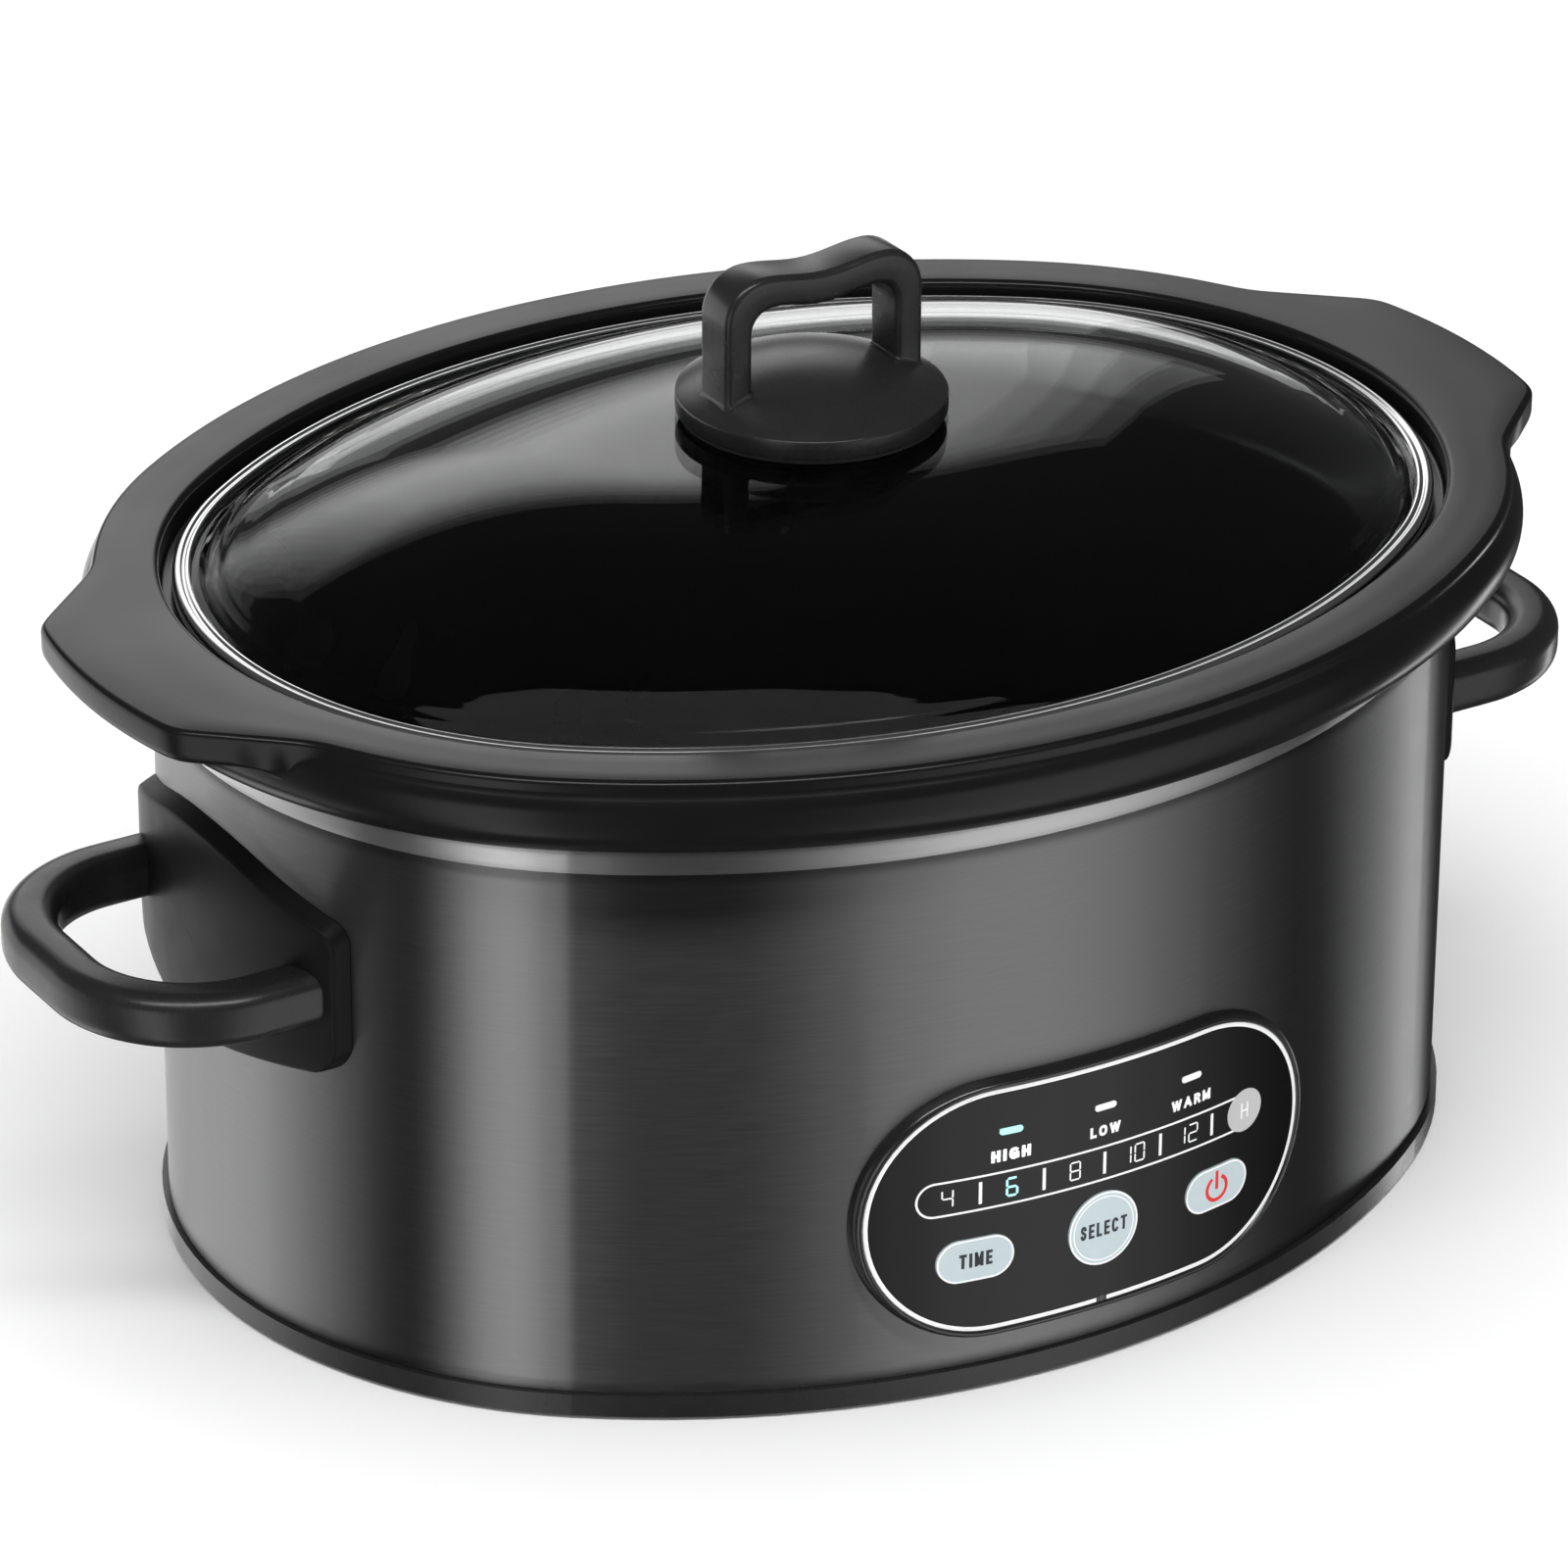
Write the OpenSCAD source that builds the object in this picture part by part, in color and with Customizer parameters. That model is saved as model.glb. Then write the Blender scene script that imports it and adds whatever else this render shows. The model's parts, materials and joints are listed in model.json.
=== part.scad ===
// Oval slow cooker: brushed steel wrap on a plastic base, lift-out stoneware crock,
// glass lid and a curved control panel with three keys.
// The frame stands on its feet at Z = 0, the long axis is X and the panel faces -Y.

/* [Housing] */
// Length of the steel wrap along X
housing_length = 340; // [325:1:360]
// Width of the steel wrap along Y
housing_width = 268; // [256:1:282]
// Height of the steel wrap
wrap_height = 140; // [130:1:160]
// Sheet thickness of the steel wrap
wrap_wall = 1; // [0.8:0.1:1.4]
// Height of the bare steel collar above the wrap
collar_height = 5.9; // [5:0.1:8]
// Width of the collar's flat top
collar_width = 13; // [12:0.5:13.5]
// Sheet thickness of the collar
collar_wall = 1.2; // [0.8:0.1:1.6]
// How far the collar's inner skirt reaches down inside the wrap
collar_spigot = 6; // [4:0.5:9]

/* [Base] */
// How far the feet stand out below the tray
foot_drop = 1; // [0.8:0.1:3]
// Radius of each rubber foot
foot_radius = 9; // [7:0.5:12]
// Distance of the feet from the middle along X
foot_x = 106; // [100:0.5:112]
// Distance of the feet from the middle along Y
foot_y = 68; // [64:0.5:74]
// Height of the visible base ring
base_ring_height = 5.8; // [5:0.1:8]
// How far the base ring stands out past the wrap
base_ring_step = 1.6; // [0.8:0.1:2.4]
// Thickness of the tray's floor
tray_floor = 2.5; // [2:0.1:2.8]
// Height of the tray's upstand inside the wrap
tray_upstand = 7; // [4:0.5:10]
// Wall of the tray's upstand
tray_wall = 2; // [1.6:0.1:2.4]
// Distance of the standoffs from the middle along X
standoff_x = 92; // [84:1:98]
// Distance of the standoffs from the middle along Y
standoff_y = 52; // [48:1:56]
// Outer radius of a standoff
standoff_radius = 4; // [3.5:0.1:5]
// Number of vent slots in each of the tray's two rows
vent_slots = 7; // [4:1:8]
// Width of one vent slot
vent_width = 3; // [2:0.5:4]
// Length of one vent slot
vent_length = 30; // [20:1:34]

/* [Heating well] */
// Gap between the wrap's outer face and the well's outer face
well_inset = 14.5; // [14.1:0.1:15.5]
// Sheet thickness of the well
well_wall = 1; // [0.6:0.1:1.2]
// Height of the well's underside above the table
well_floor_z = 34; // [32:0.5:38]
// Bottom corner radius of the well
well_corner = 18; // [14:0.5:22]
// Height of the heater band
band_height = 40; // [30:1:50]
// Thickness of the heater band
band_thickness = 2; // [1.5:0.1:2.4]
// Height of the heater band's lower edge above the well's corner
band_lift = 2; // [1:0.5:6]

/* [Crock] */
// Wall thickness of the stoneware
crock_wall = 7; // [6:0.1:8]
// Side clearance between the crock and the well
crock_side_clear = 2; // [1.5:0.1:3]
// Clearance below the crock's floor
crock_floor_clear = 2; // [1:0.1:4]
// Outer radius of the crock's bottom corner
crock_corner = 16; // [14:0.5:20]
// How far the rim bulges out past the wrap
rim_bulge = 16.9; // [16.2:0.1:17.8]
// Height of the rim above its seat on the collar
rim_height = 24.7; // [24:0.1:26.5]
// How far the rim's flat top reaches out past the wrap
rim_flat = 13.8; // [13:0.1:14.6]
// Depth of the roll's highest point below the flat top
rim_step = 0.3; // [0.2:0.1:1]
// Radius of the roll
rim_round = 10; // [9.4:0.1:10.4]
// Radius along both edges of the flat top
rim_edge = 1.8; // [1.2:0.1:2.2]
// Place of the rim's inner edge, from the line of the wrap outwards
rim_inner = -2.6; // [-3.2:0.1:-2]
// Depth of the ledge that the lid sits on
lid_ledge_depth = 7.4; // [6.8:0.1:8]
// Width of the shoulder from the ledge in to the crock's inner wall
shoulder_height = 16; // [12:0.5:20]
// How far the carrying lugs reach out past the wrap
lug_reach = 30.6; // [28:0.1:34]
// Half the width of a lug where it leaves the rim
lug_half_width = 57.5; // [53:0.5:60]
// Half the width of a lug at its tip
lug_tip_half = 34.5; // [32:0.5:38]
// Thickness of a lug
lug_thickness = 8.9; // [8:0.1:9.6]
// Radius of a lug's corners
lug_corner = 10; // [6:0.5:12]
// Bevel along a lug's edges
lug_bevel = 1.6; // [1:0.1:2.2]

/* [Lid] */
// Gap in plan between the rim's inner edge and the lid
lid_gap = 3.1; // [2.6:0.1:3.8]
// Width of the lid's steel rim seen from above
lid_rim_width = 4.3; // [3.6:0.1:5]
// Height of the lid's steel rim
lid_rim_height = 4.8; // [4.4:0.1:5.4]
// Thickness of the lid's steel rim sheet
lid_rim_sheet = 0.9; // [0.6:0.1:1]
// Thickness of the glass dome
glass_thickness = 4; // [3.5:0.1:5]
// Height of the dome above the glass edge
dome_rise = 27.9; // [24:0.1:34]
// End radius of the flat crown at the top of the dome
crown_end_radius = 3; // [2:0.5:6]
// Radius of the lid handle's disc
knob_radius = 33.8; // [31:0.1:36]
// Thickness of the disc along its edge
knob_thickness = 4.9; // [4.5:0.1:6]
// Height of the disc's domed top above its edge
knob_dome = 8.8; // [7:0.1:10]
// Thickness of the seal under the disc
knob_seal = 1; // [0.8:0.1:1.5]
// Height of the bridge handle above the disc's edge
bridge_height = 34.9; // [32:0.1:42]
// Length of the bridge handle
bridge_length = 56.6; // [52:0.1:58]
// Depth of the bridge handle
bridge_depth = 13.4; // [11:0.1:15]
// Width of each leg of the bridge
bridge_leg = 7.6; // [6.5:0.1:9]
// Thickness of the grip at the top of the bridge
bridge_grip = 8.4; // [7.5:0.1:10]
// Depth of the wave in the middle of the grip
bridge_dip = 1.8; // [0.5:0.1:3]
// Outer corner radius of the bridge
bridge_corner = 11; // [9:0.5:12]

/* [Side handles] */
// Thickness of the mounting plate
plate_thickness = 4.4; // [4:0.1:6]
// Half the width of the mounting plate
plate_half_width = 50; // [48:0.5:53]
// Height of the plate's lowest point above the table
plate_bottom_z = 75.5; // [72:0.5:80]
// Height of the plate's lower corners above its lowest point
plate_belly = 8.5; // [6:0.5:10]
// Height of the plate's shoulders above its lowest point
plate_shoulder = 47; // [44:0.5:50]
// Height of the plate's peak above its lowest point
plate_peak = 62.5; // [58:0.5:65]
// Radius of the plate's lower corners
plate_corner = 9; // [6:0.5:12]
// How far the loop reaches out past the wrap
loop_reach = 48; // [46:0.1:56]
// Half the width of the loop, outside
loop_half_width = 47.2; // [44:0.1:48]
// Thickness of the loop's bar seen from above
loop_bar_width = 13.9; // [12:0.1:15.5]
// Height of the loop's bar
loop_bar_height = 14.2; // [12.5:0.1:15.5]
// Radius along the bar's edges
loop_edge = 5.2; // [4:0.1:5.8]
// Outer corner radius of the loop
loop_corner = 39; // [36:0.5:43]
// Height of the loop's middle above the plate's lowest point
loop_height = 27.5; // [26:0.1:31]
// Radius of the handle screws
handle_screw_radius = 2; // [1.6:0.1:2.4]
// Distance of the two handle screws from the loop's middle height
handle_screw_half = 15; // [13:0.5:17]

/* [Control panel] */
// Height of the panel's middle above the table
panel_z = 50; // [47:0.5:56]
// Length of the bezel
bezel_length = 130; // [126:0.5:132]
// Height of the bezel
bezel_height = 70; // [67:0.5:74]
// Width of the bezel's raised border
bezel_border = 3.5; // [3:0.1:3.9]
// How far the bezel stands out from the wrap
bezel_proud = 3.6; // [3.2:0.1:5]
// Width of the bezel that grips outside the wrap's cut-out
bezel_grip = 4.3; // [4.1:0.1:4.9]
// How far the bezel's sleeve reaches in behind the wrap's outer face
bezel_sleeve = 3; // [2.6:0.1:3.2]
// Width of the ledge that carries the panel face
face_ledge = 4.2; // [3.6:0.1:4.4]
// Thickness of the panel face
face_thickness = 1.8; // [1.5:0.1:2]
// Distance of the outer keys from the middle
key_spacing = 35; // [33:0.5:38]
// Height of the keys below the panel's middle
key_drop = 12.4; // [11:0.1:14]
// Length of the stadium keys
key_length = 20; // [18:0.5:22]
// Height of the stadium keys
key_height = 11.5; // [10.5:0.5:13]
// Radius of the round key
round_key_radius = 9.9; // [9:0.1:10.8]
// How far the keys stand out from the panel face
key_proud = 0.4; // [0.3:0.1:1]
// Travel of the keys
key_travel = 0.8; // [0.4:0.1:1]
// Clearance between a key and its hole
key_clear = 0.3; // [0.2:0.05:0.5]
// Radius of a key's stem
stem_radius = 2; // [1.5:0.1:2.5]
// Distance between the light bars
light_spacing = 26; // [24:0.5:28]
// Height of the light bars above the panel's middle
light_rise = 21; // [19:0.5:22.5]
// Length of one light bar
light_length = 6.2; // [5:0.1:8]
// Height of one light bar
light_height = 1.8; // [1.4:0.1:2.4]

/* [Electronics] */
// Length of the control board
board_length = 100; // [94:1:102]
// Height of the control board
board_height = 54; // [52:0.5:54.5]
// Thickness of both circuit boards
board_thickness = 1.6; // [1.2:0.1:2]
// Distance of the control board's front behind the wrap's outer face
board_inset = 9.8; // [9.4:0.1:10.2]
// Half the length between the control board's screws
board_screw_x = 13; // [11:0.5:15]
// Half the height between the control board's screws
board_screw_z = 24.5; // [23.5:0.1:25]
// Length of the power board
power_board_length = 96; // [90:1:110]
// Width of the power board
power_board_width = 62; // [58:1:70]
// Height of the power board's posts above the tray floor
power_post_height = 4; // [3:0.5:6]
// Radius of the lead wires
lead_radius = 1.3; // [1:0.1:1.5]
// Outer radius of the cord gland's body
gland_radius = 6.5; // [6:0.1:8]
// Radius of the cord gland's bore
gland_bore = 3.7; // [3:0.1:4.2]
// Height of the cord gland's axis above the tray floor
gland_height = 16; // [12:0.5:17.5]
// How far the cord gland stands out from the wrap
gland_proud = 12; // [8:0.5:20]

/* [Hidden] */
$fn = 96;

// clearances
seat_gap = 0.3;      // between a lifted part and its seat
slip = 0.1;          // between nested fixed parts
screw_slip = 0.05;   // between a screw and its hole
arc_steps = 8;       // straight steps in a small rounded corner
lug_tip_round = 40;  // radius between the straight stretches of a lug's tip
lead_rise = 30;      // length over which the mains leads rise to the gland

// colours
steel_dark = [0.23, 0.23, 0.24];
steel_bare = [0.78, 0.78, 0.79];
plastic_black = [0.07, 0.07, 0.07];
board_green = [0.1, 0.32, 0.2];

// The oval is four arcs, two round the ends and two along the sides, concentric in every offset.
// They meet where the common normal has the slope 4 : 3, which fixes all radii from the two sizes.
half_length = housing_length / 2;
half_width = housing_width / 2;
end_radius = (3 * half_width - half_length) / 2;
end_centre = half_length - end_radius;
side_radius = 2 * half_length - half_width;
side_centre = side_radius - half_width;
seam_x = 0.6;
seam_y = 0.8;
seam = atan2(seam_y, seam_x);

// heights from the table up
tray_z = foot_drop;
wrap_z = tray_z + base_ring_height;
wrap_top = wrap_z + wrap_height;
collar_top = wrap_top + collar_height;
floor_top = wrap_z - slip;
floor_z = floor_top - tray_floor;
flange_top = collar_top - collar_wall;
crock_z = well_floor_z + well_wall + crock_floor_clear;
crock_seat = collar_top + seat_gap;
rim_top = crock_seat + rim_height;
ledge_z = rim_top - lid_ledge_depth;
lid_z = ledge_z + seat_gap;
lid_rim_top = lid_z + lid_rim_height;
glass_edge_top = lid_rim_top - lid_rim_sheet - slip;
glass_edge_z = lid_z + lid_rim_sheet + slip;
crown_z = glass_edge_top + dome_rise;
seal_z = crown_z + slip;
knob_z = seal_z + knob_seal + slip;
knob_top = knob_z + knob_thickness;
knob_screw_depth = 2.8;   // depth of the blind hole in the handle's disc
knob_round = (knob_radius ^ 2 + knob_dome ^ 2) / (2 * knob_dome);   // radius of the domed top
glass_room = 1.2;         // radial room of the screw in the glass

// offsets from the wrap's outer face, negative inwards
well_out = -well_inset;
well_in = well_out - well_wall;
crock_out = well_in - crock_side_clear;
crock_in = crock_out - crock_wall;
lid_out = rim_inner - lid_gap;
lid_in = lid_out - lid_rim_width;
ledge_in = lid_in - 2;
bulge_mid_z = rim_top - rim_step - rim_round;
rim_centre = [rim_bulge - rim_round, bulge_mid_z];   // middle of the roll
rim_foot = [0.4, crock_seat];                        // outer edge of the rim's seat
foot_run = rim_foot - rim_centre;
taper = atan2(foot_run[1], foot_run[0]) + acos(rim_round / norm(foot_run));
rim_touch = rim_centre + rim_round * [cos(taper), sin(taper)];   // where the taper leaves the roll
band_z = well_floor_z + well_corner + band_lift;
dome_edge = lid_in - 2;
crown_off = crown_end_radius - end_radius;
dome_span = dome_edge - crown_off;
dome_radius = (dome_span ^ 2 + dome_rise ^ 2) / (2 * dome_rise);

// control panel
face_recess = 0.7;        // depth of the face below the bezel's border
cut_length = bezel_length - 2 * bezel_grip;
cut_height = bezel_height - 2 * bezel_grip;
sleeve_length = cut_length - 2 * slip;
sleeve_height = cut_height - 2 * slip;
window_length = bezel_length - 2 * bezel_border;
window_height = bezel_height - 2 * bezel_border;
face_length = window_length - 2 * slip;
face_height = window_height - 2 * slip;
face_back = bezel_proud - face_recess - face_thickness;
face_front = face_back + face_thickness;
open_length = sleeve_length - 2 * face_ledge;
open_height = sleeve_height - 2 * face_ledge;
key_z = panel_z - key_drop;
key_flange = 1.4;         // thickness of the flange that holds a key behind the face
key_flange_rim = 0.9;     // how far the flange reaches past the key
board_y = -half_width + board_inset;
switch_height = 3.4;
switch_nub = 1;
nub_front_y = board_y - switch_height - switch_nub;
stem_end_y = nub_front_y - key_travel - 0.2;

// side handles
plate_back = slip;
plate_front = plate_back + plate_thickness;
loop_z = plate_bottom_z + loop_height;
loop_end_x = half_length + loop_reach;
loop_turn_x = loop_end_x - loop_corner;
loop_turn_y = loop_half_width - loop_corner;
loop_mid_radius = loop_corner - loop_bar_width / 2;
// the arms are cut off inside the plate, clear of the wrap
loop_root_x = half_length - 14;
loop_root_radius = end_radius + plate_back + plate_thickness / 4;

// electronics
power_board_x = -18;     // place of the power board on the tray
power_board_y = -30;
power_board_z = floor_top + power_post_height;
power_top = power_board_z + board_thickness;
gland_z = floor_top + gland_height;
elbow_swell = 0.2;       // how much fatter a wire is at its bends

// screws: shank radius, head radius, head height and bite, the depth in the piece that they hold
base_screw = [1.6, 3.4, 1.8];
base_bite = 10;
small_screw = [1.25, 2.3, 1.2];
small_bite = 3;
handle_head = [4, 2.2];
knob_screw = [2, 6, 2.4];
screw_spare = 1;         // spare depth of a blind screw hole below the screw's end
screw_room = 0.3;        // radial room of a screw in the sheet or board that it passes through

// base
tray_lip = 6;            // width of the tray's lip inwards from the wrap's line
vent_pitch = 6.6;        // distance between two vents
post_radius = 3;         // outer radius of a post that carries a circuit board
post_inset = 5;          // distance of the power board's screws from its edges

// heater
band_gap = 4;            // gap in the band at the back
clamp_tab = [2, 8, 12];  // upright tabs of the clamp
clamp_foot = [8, 1];     // feet of the clamp on the band
clamp_bolt = 1.5;        // radius of the clamp's bolt
fuse_radius = 2.6;
fuse_length = 24;
fuse_clip = [1, 16, 10];
fuse_lift = 14;          // height of the fuse above the band
fuse_place = 14;         // angle of the fuse round the back, from the middle
sensor_radius = 5;
sensor_height = 4;
sensor_clip = [8, 24, 1];
sensor_place = [30, 30];

// handles
plate_soft = 6;          // radius of the plate's shoulders
plate_peak_round = 80;   // radius of the plate's peak
plate_belly_round = 40;  // radius of the plate's lowest point
screw_wall = 1.2;        // plastic left in front of the handle screws

// control panel
clip_length = 24;        // snap clips that hold the bezel behind the wrap
clip_height = 3;
clip_hook = 0.9;         // how far a clip reaches past the cut-out's edge
switch_size = 6;
switch_nub_radius = 1.6;
led_size = [3, 1.2, 2];
hour_led_size = [3, 1.2, 3];
hour_rise = 5.5;         // height of the row of hour marks above the panel's middle
hour_pitch = 16;
chip_size = [9, 1.5, 9];
chip_place = [17, -22.5];

// power board: sizes and places from the board's middle
transformer_core = [30, 12, 10];
transformer_coil = [26, 22, 9];
transformer_base = [30, 26, 3];
transformer_place = [-24, 6];
relay_size = [19, 16, 13];
relay_place = [4, 8];
capacitor_size = [18, 8, 12];
capacitor_place = [28, 12];
terminal_size = [24, 10, 10];
terminal_place = [16, 24];
terminal_pitch = 5.5;
terminal_hole = 1.6;
ribbon_plug = [16, 5, 6];
ribbon_width = 13;
ribbon_sheet = 1;
ribbon_x = -24;          // place of the ribbon along the power board
lead_pitch = 8;          // distance between the heater leads at the band
lead_start = 16;         // place of the first heater lead at the back
lead_tab = [4, 5, 7];

terminal_x = power_board_x + terminal_place[0];
terminal_y = power_board_y + terminal_place[1];

// cord gland
gland_flange = 3;        // width of the gland's flange
gland_flange_height = 2;
gland_taper = 1.4;
gland_thread = 10;       // length of the gland inside the wrap
nut_width = 3.2;
nut_height = 3.5;

// ---- shapes used by several parts ----

// Angle difference brought into -180..180
function turn(a) = a > 180 ? a - 360 : a < -180 ? a + 360 : a;

// Outline with each corner rounded by its own radius
function rounded(points, radii) = [
    for (i = [0 : len(points) - 1])
        let (p = points[i],
            u = points[(i + len(points) - 1) % len(points)] - p,
            v = points[(i + 1) % len(points)] - p,
            a = u / norm(u), b = v / norm(v),
            half = acos(a * b) / 2,
            r = radii[i],
            c = p + (a + b) / norm(a + b) * r / sin(half),
            s = p + a * r / tan(half) - c,
            e = p + b * r / tan(half) - c,
            start = atan2(s.y, s.x),
            sweep = turn(atan2(e.y, e.x) - start))
        for (k = [0 : r > 0 ? arc_steps : 0])
            r > 0 ? c + r * [cos(start + sweep * k / arc_steps), sin(start + sweep * k / arc_steps)] : p
];

// Sweeps a profile round the oval; the profile's X is the offset from the wrap's outer face.
// One quarter is made from its seam outwards, cut square and mirrored to the other three.
module oval_sweep() {
    for (mx = [0, 1]) for (my = [0, 1])
        mirror([mx, 0, 0]) mirror([0, my, 0])
            intersection() {
                union() {
                    translate([end_centre, 0, 0])
                        rotate([0, 0, seam]) mirror([0, 1, 0])
                            rotate_extrude(angle = seam + 8)
                                translate([end_radius, 0]) children();
                    translate([0, -side_centre, 0])
                        rotate([0, 0, seam])
                            rotate_extrude(angle = 98 - seam)
                                translate([side_radius, 0]) children();
                }
                cube([2 * half_length, 2 * half_width, 2 * wrap_top]);
            }
}

// Plan of the oval at an offset
module oval_plan(offset_by) {
    end_r = end_radius + offset_by;
    side_r = side_radius + offset_by;
    meet_x = end_centre + end_r * seam_x;
    meet_y = end_r * seam_y;
    intersection() {
        translate([0, -side_centre]) circle(r = side_r, $fn = 360);
        translate([0, side_centre]) circle(r = side_r, $fn = 360);
        translate([-meet_x, -half_width * 2]) square([2 * meet_x, half_width * 4]);
    }
    for (s = [-1, 1])
        intersection() {
            translate([s * end_centre, 0]) circle(r = end_r, $fn = 240);
            translate([s > 0 ? meet_x : -half_length * 2, -meet_y])
                square([half_length * 2 - meet_x, 2 * meet_y]);
        }
}

// Profile rectangle between two offsets and two heights
module strip(x0, x1, z0, z1) {
    translate([x0, z0]) square([x1 - x0, z1 - z0]);
}

// Stadium outline
module stadium(length, height) {
    reach = max(0, (length - height) / 2);
    square([2 * reach, height], center = true);
    for (s = [-1, 1]) translate([s * reach, 0]) circle(d = min(length, height));
}

// Turns an outline in X and Z into a prism along Y through the front wall
module front_prism(z) {
    translate([0, 0, z]) rotate([90, 0, 0]) linear_extrude(2 * half_width) children();
}

// Part of the front wall between two offsets, cut to an outline
module front_curve(from, to, z) {
    intersection() {
        front_prism(z) children();
        translate([0, side_centre, 0])
            difference() {
                cylinder(r = side_radius + to, h = 2 * panel_z, $fn = 360);
                translate([0, 0, -1])
                    cylinder(r = side_radius + from, h = 2 * panel_z + 2, $fn = 360);
            }
    }
}

// Straight cylinder between two points
module rod(from, to, r) {
    d = to - from;
    translate(from)
        rotate([0, acos(d.z / norm(d)), atan2(d.y, d.x)])
            cylinder(r = r, h = norm(d), $fn = 24);
}

// Wire that follows straight stretches with round elbows
module wire(points, r) {
    for (i = [0 : len(points) - 2]) rod(points[i], points[i + 1], r);
    for (i = [1 : len(points) - 2]) translate(points[i]) sphere(r = r + elbow_swell, $fn = 24);
}

// Screw along +Z with its head at the origin pointing down
module screw(shank_r, shank_l, head_r, head_h) {
    translate([0, 0, -head_h])
        difference() {
            cylinder(r = head_r, h = head_h, $fn = 32);
            for (a = [0, 90]) rotate([0, 0, a])
                translate([-head_r * 0.6, -head_r * 0.15, -head_h / 2])
                    cube([head_r * 1.2, head_r * 0.3, head_h]);
        }
    cylinder(r = shank_r, h = shank_l, $fn = 24);
}

// Copies a child to the four corners of a rectangle
module corners(x, y) {
    for (sx = [-1, 1]) for (sy = [-1, 1]) translate([sx * x, sy * y, 0]) children();
}

// ---- housing ----

module outer_shell() color(steel_dark)
    difference() {
        oval_sweep() strip(-wrap_wall, 0, wrap_z, wrap_top);
        front_prism(panel_z) stadium(cut_length, cut_height);
        for (s = [-1, 1]) for (t = [-1, 1])
            translate([s * half_length, 0, loop_z + t * handle_screw_half])
                rotate([0, 90, 0])
                    cylinder(r = handle_screw_radius + slip, h = 8 * wrap_wall, center = true);
        translate([0, half_width, gland_z])
            rotate([90, 0, 0]) cylinder(r = gland_radius + slip, h = 8 * wrap_wall, center = true);
    }

module top_collar() color(steel_bare)
    oval_sweep() {
        strip(-collar_wall, 0, wrap_top + slip, collar_top);
        strip(-collar_width, 0, flange_top, collar_top);
        strip(-wrap_wall - slip - collar_wall, -wrap_wall - slip, wrap_top - collar_spigot, flange_top);
    }

// Copies a child to the power board's four screws
module at_power_posts(z) {
    translate([power_board_x, power_board_y, z])
        corners(power_board_length / 2 - post_inset, power_board_width / 2 - post_inset) children();
}

module base_tray() color(plastic_black)
    difference() {
        union() {
            oval_sweep() {
                strip(-tray_lip, base_ring_step, floor_z, floor_top);
                strip(-tray_wall, base_ring_step, tray_z, floor_top);
                strip(-wrap_wall - slip - tray_wall, -wrap_wall - slip, floor_z, floor_top + tray_upstand);
            }
            translate([0, 0, floor_z]) linear_extrude(tray_floor) oval_plan(1 - tray_lip);
            at_power_posts(floor_top - slip) cylinder(r = post_radius, h = power_post_height + slip);
        }
        corners(standoff_x, standoff_y)
            translate([0, 0, floor_z - 1]) cylinder(r = base_screw[0] + screw_room, h = tray_floor + 2);
        at_power_posts(power_board_z - small_bite - screw_spare / 2)
            cylinder(r = small_screw[0], h = 2 * small_bite);
        for (s = [-1, 1]) for (i = [0 : vent_slots - 1])
            translate([s * standoff_x + (i - (vent_slots - 1) / 2) * vent_pitch, 0, floor_z + tray_floor / 2])
                cube([vent_width, vent_length, tray_floor + 2], center = true);
        translate([0, half_width, gland_z])
            rotate([90, 0, 0])
                cylinder(r = gland_radius + gland_flange + 2, h = 4 * (tray_wall + wrap_wall), center = true);
    }

module rubber_feet() color([0.1, 0.1, 0.1])
    corners(foot_x, foot_y)
        cylinder(r = foot_radius, h = floor_z);

module standoffs() color(steel_bare)
    corners(standoff_x, standoff_y)
        translate([0, 0, floor_top])
            difference() {
                cylinder(r = standoff_radius, h = well_floor_z - floor_top);
                translate([0, 0, -1]) cylinder(r = base_screw[0], h = 1 + base_bite + screw_spare);
            }

module base_screws() color(steel_bare)
    corners(standoff_x, standoff_y)
        translate([0, 0, floor_z])
            screw(base_screw[0] - screw_slip, tray_floor + base_bite, base_screw[1], base_screw[2]);

module heating_well() color([0.72, 0.72, 0.73]) {
    corner_z = well_floor_z + well_corner;
    oval_sweep() {
        strip(well_in, well_out, corner_z, flange_top);
        strip(well_in, -wrap_wall - 2 * slip - collar_wall, flange_top - well_wall, flange_top);
        translate([well_out - well_corner, corner_z])
            intersection() {
                difference() {
                    circle(r = well_corner);
                    circle(r = well_corner - well_wall);
                }
                translate([0, -well_corner]) square(well_corner);
            }
    }
    translate([0, 0, well_floor_z]) linear_extrude(well_wall) oval_plan(well_out - well_corner);
}

module heater_band() color([0.62, 0.6, 0.55])
    difference() {
        oval_sweep() strip(well_out + slip, well_out + slip + band_thickness, band_z, band_z + band_height);
        translate([-band_gap / 2, 0, band_z - 1])
            cube([band_gap, half_width, band_height + 2]);
    }

// The clamp closes the band across its gap at the back
module band_clamp() color(steel_bare) {
    y = half_width + well_out + slip + band_thickness + slip;
    middle = band_z + band_height / 2;
    low = middle - clamp_tab[2] / 2;
    inner = band_gap / 2 + 1;
    for (s = [0, 1])
        mirror([s, 0, 0]) {
            translate([inner, y, low]) cube(clamp_tab);
            translate([inner, y, low]) cube([clamp_foot[0], clamp_foot[1], clamp_tab[2]]);
        }
    reach = inner + clamp_tab[0] + 3;
    rod([-reach, y + clamp_tab[1] * 0.6, middle], [reach, y + clamp_tab[1] * 0.6, middle], clamp_bolt);
}

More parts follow.
